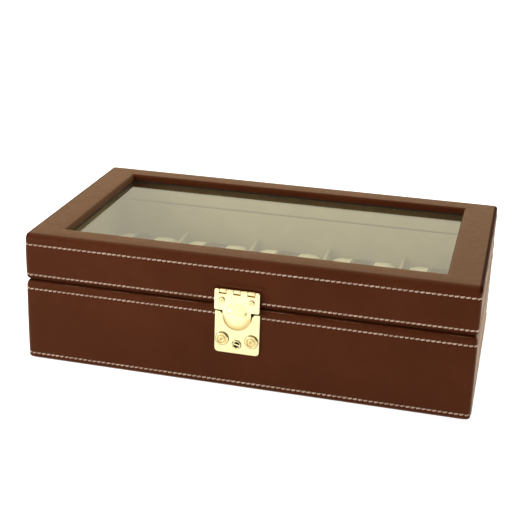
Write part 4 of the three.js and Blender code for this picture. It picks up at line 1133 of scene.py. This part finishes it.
def pillow_mesh(size, seed):
    """A stuffed velour pillow by cloth simulation: pressed up from a slightly smaller block, then held to its cell."""
    cx, cy, cz = size
    shrink = 2.4
    ob = pillow_source(cx, cy, cz, shrink)
    rm = ob.modifiers.new("r", "REMESH")
    rm.mode = "VOXEL"
    rm.voxel_size = 4.4 * MM
    apply_modifiers(ob)
    n = len(ob.data.vertices)
    start = np.zeros(n * 3, np.float32)
    ob.data.vertices.foreach_get("co", start)
    start = start.reshape(-1, 3) * 1000
    for i, v in enumerate(ob.data.vertices):
        v.co += Vector(v.co).normalized() * (0.5 * MM * noise.noise(Vector(v.co) * 60 + Vector((seed, 0, 0))))
    mod = ob.modifiers.new("cloth", "CLOTH")
    s = mod.settings
    s.quality = 6
    s.mass = 0.25
    s.tension_stiffness = 22
    s.compression_stiffness = 18
    s.shear_stiffness = 10
    s.bending_stiffness = 0.6
    s.use_pressure = True
    s.uniform_pressure_force = 4.0
    s.effector_weights.gravity = 0.0
    mod.collision_settings.use_collision = False
    mod.point_cache.frame_start, mod.point_cache.frame_end = 1, 20
    for fr in range(1, 21):
        SCENE.frame_set(fr)
    apply_modifiers(ob)
    SCENE.frame_set(1)
    co = np.zeros(n * 3, np.float32)
    ob.data.vertices.foreach_get("co", co)
    co = co.reshape(-1, 3) * 1000
    move = co - start
    L = np.linalg.norm(move, axis=1)
    cap = 5.0
    move *= (np.minimum(L, cap) / np.maximum(L, 1e-9))[:, None]
    co = start + move
    # held by the cell: soft limits at the walls, flat where it rests on the floor
    hx, hy, hz = cx / 2 - 0.15, cy / 2 - 0.15, cz / 2
    for k, h in ((0, hx), (1, hy)):
        a = np.abs(co[:, k])
        over = a > h - 1.2
        a2 = np.where(over, h - 1.2 + 1.2 * np.tanh((a - h + 1.2) / 1.2), a)
        co[:, k] = np.sign(co[:, k]) * a2
    co[:, 2] = np.maximum(co[:, 2], -hz + 0.05)
    top = co[:, 2] > hz - 0.8
    co[:, 2] = np.where(top, hz - 0.8 + 0.8 * np.tanh((co[:, 2] - hz + 0.8) / 0.8), co[:, 2])
    # fullest along its middle, falling away to the front and back
    lift = np.clip(co[:, 2] / hz, 0, 1)
    co[:, 2] -= 5.6 * lift * np.minimum(np.abs(co[:, 1]) / hy, 1) ** 2.3
    # the leather band draws the middle in
    band = np.exp(-(co[:, 0] / 10.5) ** 6)
    up = np.clip((co[:, 2] + hz) / (2 * hz), 0, 1)
    co[:, 1] *= 1 - 0.016 * band
    co[:, 2] -= 0.55 * band * up
    ob.data.vertices.foreach_set("co", (co * MM).astype(np.float32).ravel())
    ob.data.update()
    ss = ob.modifiers.new("s", "SUBSURF")
    ss.levels = ss.render_levels = 1
    apply_modifiers(ob)
    me = ob.data
    # nap: fine unevenness in the real surface
    for v in me.vertices:
        p = v.co * 1000
        v.co += v.normal * (0.12 * MM * noise.noise(p * 0.22 + Vector((seed, 2.0, 0))))
    me.polygons.foreach_set("use_smooth", np.full(len(me.polygons), True))
    bpy.data.objects.remove(ob)
    return me


def surface_radius(tree, x, cy, cz, ang):
    """The pillow's surface from its middle line at x, towards the angle in the YZ plane."""
    d = Vector((0, math.cos(ang), math.sin(ang)))
    hit = tree.ray_cast(Vector((x * MM, 0, 0)) + d * 0.2, -d)
    return Vector(hit[0]) if hit[0] is not None else Vector((x * MM, 0, 0)) + d * 0.02


def loop_band(tree, x0, x1, cols, n, out_mm, in_mm):
    """A leather band round the pillow from front to back: outer and inner skins, edges turned in."""
    angs = [2 * math.pi * i / n for i in range(n)]
    V = []
    rows_out, rows_in = [], []
    xs = list(np.linspace(x0, x1, cols))
    for off, rows in ((out_mm, rows_out), (in_mm, rows_in)):
        for ci, x in enumerate(xs):
            edge = min(ci, cols - 1 - ci)
            o = off - (0.28 if (edge == 0 and off > 0) else 0.0)
            row = []
            for a in angs:
                p = surface_radius(tree, x, 0, 0, a) * 1000
                d = Vector((0, math.cos(a), math.sin(a)))
                q = p + d * o
                row.append(len(V))
                V.append((q.x, q.y, q.z))
            rows.append(row)
    F = []
    order = rows_out + rows_in[::-1]
    for a, b in zip(order, order[1:] + order[:1]):
        for i in range(n):
            j = (i + 1) % n
            F.append((a[i], b[i], b[j], a[j]))
    return V, F


def tube(points, r, sides=8, closed=True):
    P = [Vector(p) for p in points]
    N = len(P)
    V, F = [], []
    for i, p in enumerate(P):
        t = (P[(i + 1) % N] - P[i - 1]).normalized()
        u = Vector((1, 0, 0))
        if abs(t.dot(u)) > 0.95:
            u = Vector((0, 0, 1))
        v = t.cross(u).normalized()
        u = v.cross(t).normalized()
        for k in range(sides):
            a = 2 * math.pi * k / sides
            q = p + (u * math.cos(a) + v * math.sin(a)) * r
            V.append((q.x, q.y, q.z))
    for i in range(N if closed else N - 1):
        for k in range(sides):
            a, b = i * sides + k, i * sides + (k + 1) % sides
            c, d = ((i + 1) % N) * sides + (k + 1) % sides, ((i + 1) % N) * sides + k
            F.append((a, b, c, d))
    return V, F


def cushions():
    size = None
    for n, (lo, hi) in CELLS.items():
        size = [hi[i] - lo[i] for i in range(3)]
        break
    kinds = []
    for seed in (1.3, 6.9):
        me = pillow_mesh(size, seed)
        tree = BVHTree.FromPolygons([v.co.copy() for v in me.vertices], [tuple(p.vertices) for p in me.polygons])
        band = loop_band(tree, -9.6, 9.6, 11, 112, 0.85, -0.45)
        seams = []
        for x in (-size[0] / 2 + 5.0, size[0] / 2 - 5.0):
            pts = []
            for i in range(120):
                a = 2 * math.pi * i / 120
                p = surface_radius(tree, x, 0, 0, a) * 1000
                pts.append(p + Vector((0, math.cos(a), math.sin(a))) * 0.05)
            seams.append(tube(pts, 0.62, 8))
        # stitches along both edges of the band
        stitches = []
        for x in (-8.0, 8.0):
            ring = []
            for i in range(360):
                a = 2 * math.pi * i / 360
                p = surface_radius(tree, x, 0, 0, a) * 1000
                ring.append(p + Vector((0, math.cos(a), math.sin(a))) * 0.88)
            acc = [0.0]
            for i in range(1, 361):
                acc.append(acc[-1] + (ring[i % 360] - ring[i - 1]).length)
            total = acc[-1]
            m = int(total / 3.0)
            A = np.array(acc)
            C = np.array([tuple(p) for p in ring] + [tuple(ring[0])])
            for s in range(m):
                seg = []
                for k in range(5):
                    t = k / 4
                    q = (s + 0.14 + 0.72 * t) / m * total
                    c = np.array([np.interp(q, A, C[:, j]) for j in range(3)])
                    nrm = np.array([0, c[1], c[2]]) / np.linalg.norm(c[1:])
                    seg.append(Vector(c + nrm * (-0.30 + 0.42 * math.sin(math.pi * t) ** 0.6 if 0 < t < 1 else -0.30)))
                v, f = tube(seg, 0.20, 5, closed=False)
                f = f + [tuple(range(5))[::-1], tuple(range(20, 25))]
                stitches.append((v, f))
        kinds.append((me, band, merge(*seams)[:2], merge(*stitches)[:2]))
    for n, (lo, hi) in sorted(CELLS.items()):
        row, i = n.split("_")[2], int(n.split("_")[3])
        me, band, seam, stitch = kinds[(i + (0 if row == "front" else 1)) % 2]
        c = [(lo[k] + hi[k]) / 2 for k in range(3)]
        turn = Matrix.Rotation(math.pi if (i % 3) == 0 else 0.0, 4, "Z")
        place = Matrix.Translation(Vector(c) * MM) @ turn
        body = n
        ob = bpy.data.objects.new(n.replace("watch_cushion", "pillow"), me.copy())
        SCENE.collection.objects.link(ob)
        ob.data.transform(place)
        ob.data.materials.clear()
        ob.data.materials.append(VELOUR)
        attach(ob, body)
        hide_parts(n)
        for tag, (v, f), mat in (("band", band, BAND), ("piping", seam, VELOUR), ("band_stitches", stitch, THREAD_FINE)):
            p = make(f"pillow_{tag}_{row}_{i}", v, f, mat, None)
            p.data.transform(place)
            fix_normals(p)
            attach(p, body)


# ------------------------------------------------------------------ CAD nodes that stay, with their materials
def dress_frame():
    for n, ob in NODES.items():
        if ob.hide_render:
            continue
        width = 0.0
        if n == "lid_glass":
            mat, width = GLASS, 0.35
        elif "felt" in n:
            mat, width = FELT, 0.25
        elif n == "base_lining_floor":
            mat, width = LINING, 0.25
        elif "lining" in n or "divider" in n:
            mat, width = LINING, 0.55
        elif n in ("lock_case", "lock_bolt"):
            mat, width = STEEL, 0.15
        elif "board" in n or n == "lid_top_frame":
            mat, width = BOARD, 0.3
        else:
            mat, width = BRASS_HINGE, 0.12
        ob.data.materials.clear()
        ob.data.materials.append(mat)
        bev = ob.modifiers.new("eased edges", "BEVEL")
        bev.width = width * MM
        bev.segments = 3
        bev.limit_method = "ANGLE"
        bev.angle_limit = math.radians(35)
        bev.harden_normals = False


def glass_seal():
    """The thin bead of sealant between the leather and the glass."""
    z = GLASS_TOP + 0.03
    prof = [(0.0, z), (1.0, z), (0.98, z + 0.22), (0.80, z + 0.55), (0.50, z + 0.80), (0.15, z + 0.92), (-0.25, z + 0.95), (-0.25, z + 0.15)]
    rings = [rect_ring(WINDOW_X + d, WINDOW_Y + d, 0.8, h) for d, h in prof]
    V = np.concatenate(rings)
    F = torus_faces(len(rings), len(rings[0]))
    k = Mat("seal_bead")
    n1 = k.noise(0.6, 3, 0.6)
    col = k.ramp(n1, [(0.35, (0.010, 0.0055, 0.0030)), (0.65, (0.020, 0.0105, 0.0055))])
    k.principled(col, k.vmap(n1, 0.3, 0.7, 0.45, 0.62), k.bump(n1, 0.15, 0.6), IOR=1.2)
    make("lid_glass_seal", V, F[:, ::-1] if wrong_way(V, F) else F, k.m, "lid")


base_leather()
lid_leather()
glass_seal()
behind_lock = (PLATE_X - PLATE_HW - 0.6, PLATE_X + PLATE_HW + 0.6)
behind_hasp = (HASP_X - HASP_HW - 0.6, HASP_X + HASP_HW + 0.6)
stitch_row("stitching_lid_upper", STITCH_Z["lid_upper"], STITCH_PITCH["lid_upper"], "lid", None)
stitch_row("stitching_lid_lower", STITCH_Z["lid_lower"], STITCH_PITCH["lid_lower"], "lid", behind_hasp)
stitch_row("stitching_base_upper", STITCH_Z["base_upper"], STITCH_PITCH["base_upper"], "base", behind_lock)
stitch_row("stitching_base_lower", STITCH_Z["base_lower"], STITCH_PITCH["base_lower"], "base", None)
lock_plate()
lock_rivets()
lock_plug()
hasp_plate()
hasp_studs()
hasp_hinge()
rear_hinges()
cushions()
dress_frame()


# ------------------------------------------------------------------ floor, light, camera
def studio():
    w = bpy.data.worlds.new("studio")
    SCENE.world = w
    w.use_nodes = True
    t = w.node_tree
    bg = t.nodes["Background"]
    bg.inputs["Color"].default_value = (1.0, 0.925, 0.72, 1.0)
    tc = t.nodes.new("ShaderNodeTexCoord")
    sep = t.nodes.new("ShaderNodeSeparateXYZ")
    t.links.new(tc.outputs["Generated"], sep.inputs[0])
    mr = t.nodes.new("ShaderNodeMapRange")            # bright wall behind and above, darker room in front
    mr.interpolation_type = "SMOOTHSTEP"
    mr.inputs["From Min"].default_value, mr.inputs["From Max"].default_value = -0.55, 0.35
    mr.inputs["To Min"].default_value, mr.inputs["To Max"].default_value = 0.21, 1.19
    t.links.new(sep.outputs["Y"], mr.inputs["Value"])
    side = t.nodes.new("ShaderNodeMapRange")
    side.inputs["From Min"].default_value, side.inputs["From Max"].default_value = -0.8, 0.8
    side.inputs["To Min"].default_value, side.inputs["To Max"].default_value = 1.0, 0.0
    t.links.new(sep.outputs["X"], side.inputs["Value"])
    fill = t.nodes.new("ShaderNodeMapRange")          # and a little brighter on the left of the room
    fill.inputs["From Min"].default_value, fill.inputs["From Max"].default_value = 0.0, -0.5
    fill.inputs["To Min"].default_value, fill.inputs["To Max"].default_value = 0.0, 0.45
    t.links.new(sep.outputs["Y"], fill.inputs["Value"])
    mul = t.nodes.new("ShaderNodeMath")
    mul.operation = "MULTIPLY_ADD"
    t.links.new(side.outputs["Result"], mul.inputs[0])
    t.links.new(fill.outputs["Result"], mul.inputs[1])
    t.links.new(mr.outputs["Result"], mul.inputs[2])
    t.links.new(mul.outputs[0], bg.inputs["Strength"])

    n = 60
    V, F = [], []
    for i in range(n):
        a = 2 * math.pi * i / n
        V.append((6 * math.cos(a), 6 * math.sin(a), 0.0))
    F.append(tuple(range(n)))
    me = bpy.data.meshes.new("floor")
    me.from_pydata(V, [], F)
    floor = bpy.data.objects.new("floor", me)
    SCENE.collection.objects.link(floor)
    k = Mat("pale_floor")
    b = k.principled((0.56, 0.60, 0.68), 0.9, None, IOR=1.2)
    b.inputs["Emission Color"].default_value = (1.0, 1.0, 1.0, 1.0)
    b.inputs["Emission Strength"].default_value = 0.74
    me.materials.append(k.m)

    def area(name, at, to, size, power, color=(1, 1, 1), tall=None):
        d = bpy.data.lights.new(name, "AREA")
        d.shape = "RECTANGLE" if tall else "SQUARE"
        d.size = size
        if tall:
            d.size_y = tall
        d.energy = power
        d.color = color
        o = bpy.data.objects.new(name, d)
        SCENE.collection.objects.link(o)
        o.location = at
        o.rotation_mode = "QUATERNION"
        o.rotation_quaternion = (Vector(to) - Vector(at)).to_track_quat("-Z", "Y")
        return o

    area("top_softbox", (-0.15, 0.25, 1.5), (0, 0, 0.05), 2.0, 16.5, (1.0, 0.97, 0.90))
    area("front_softbox", (-0.17, -1.45, 0.64), (0, -0.05, 0.10), 1.72, 7.4, (1.0, 0.97, 0.92), 1.20)
    area("left_softbox", (-0.62, -0.62, 0.34), (-0.12, -0.09, 0.06), 0.32, 4.2, (1.0, 0.96, 0.90))


def camera():
    az, el, roll = map(math.radians, (14.726, 19.745, 1.392))
    back = Vector((math.sin(az) * math.cos(el), -math.cos(az) * math.cos(el), math.sin(el)))
    right = (-back).cross(Vector((0, 0, 1))).normalized()
    up = right.cross(-back).normalized()
    right2 = right * math.cos(roll) + up * math.sin(roll)
    up2 = up * math.cos(roll) - right * math.sin(roll)
    cam = bpy.data.cameras.new("camera")
    ob = bpy.data.objects.new("camera", cam)
    SCENE.collection.objects.link(ob)
    m = Matrix((right2, up2, back)).transposed().to_4x4()
    m.translation = Vector((0.18473, -0.82814, 0.39320))
    ob.matrix_world = m
    cam.sensor_width = 36
    cam.lens = 36 * 1147.59 / 520
    cam.shift_x, cam.shift_y = 28 / 520, -28 / 520
    cam.clip_start, cam.clip_end = 0.05, 50
    SCENE.camera = ob


studio()
camera()
SCENE.view_settings.view_transform = "Standard"
SCENE.view_settings.look = "None"

bpy.context.view_layer.update()
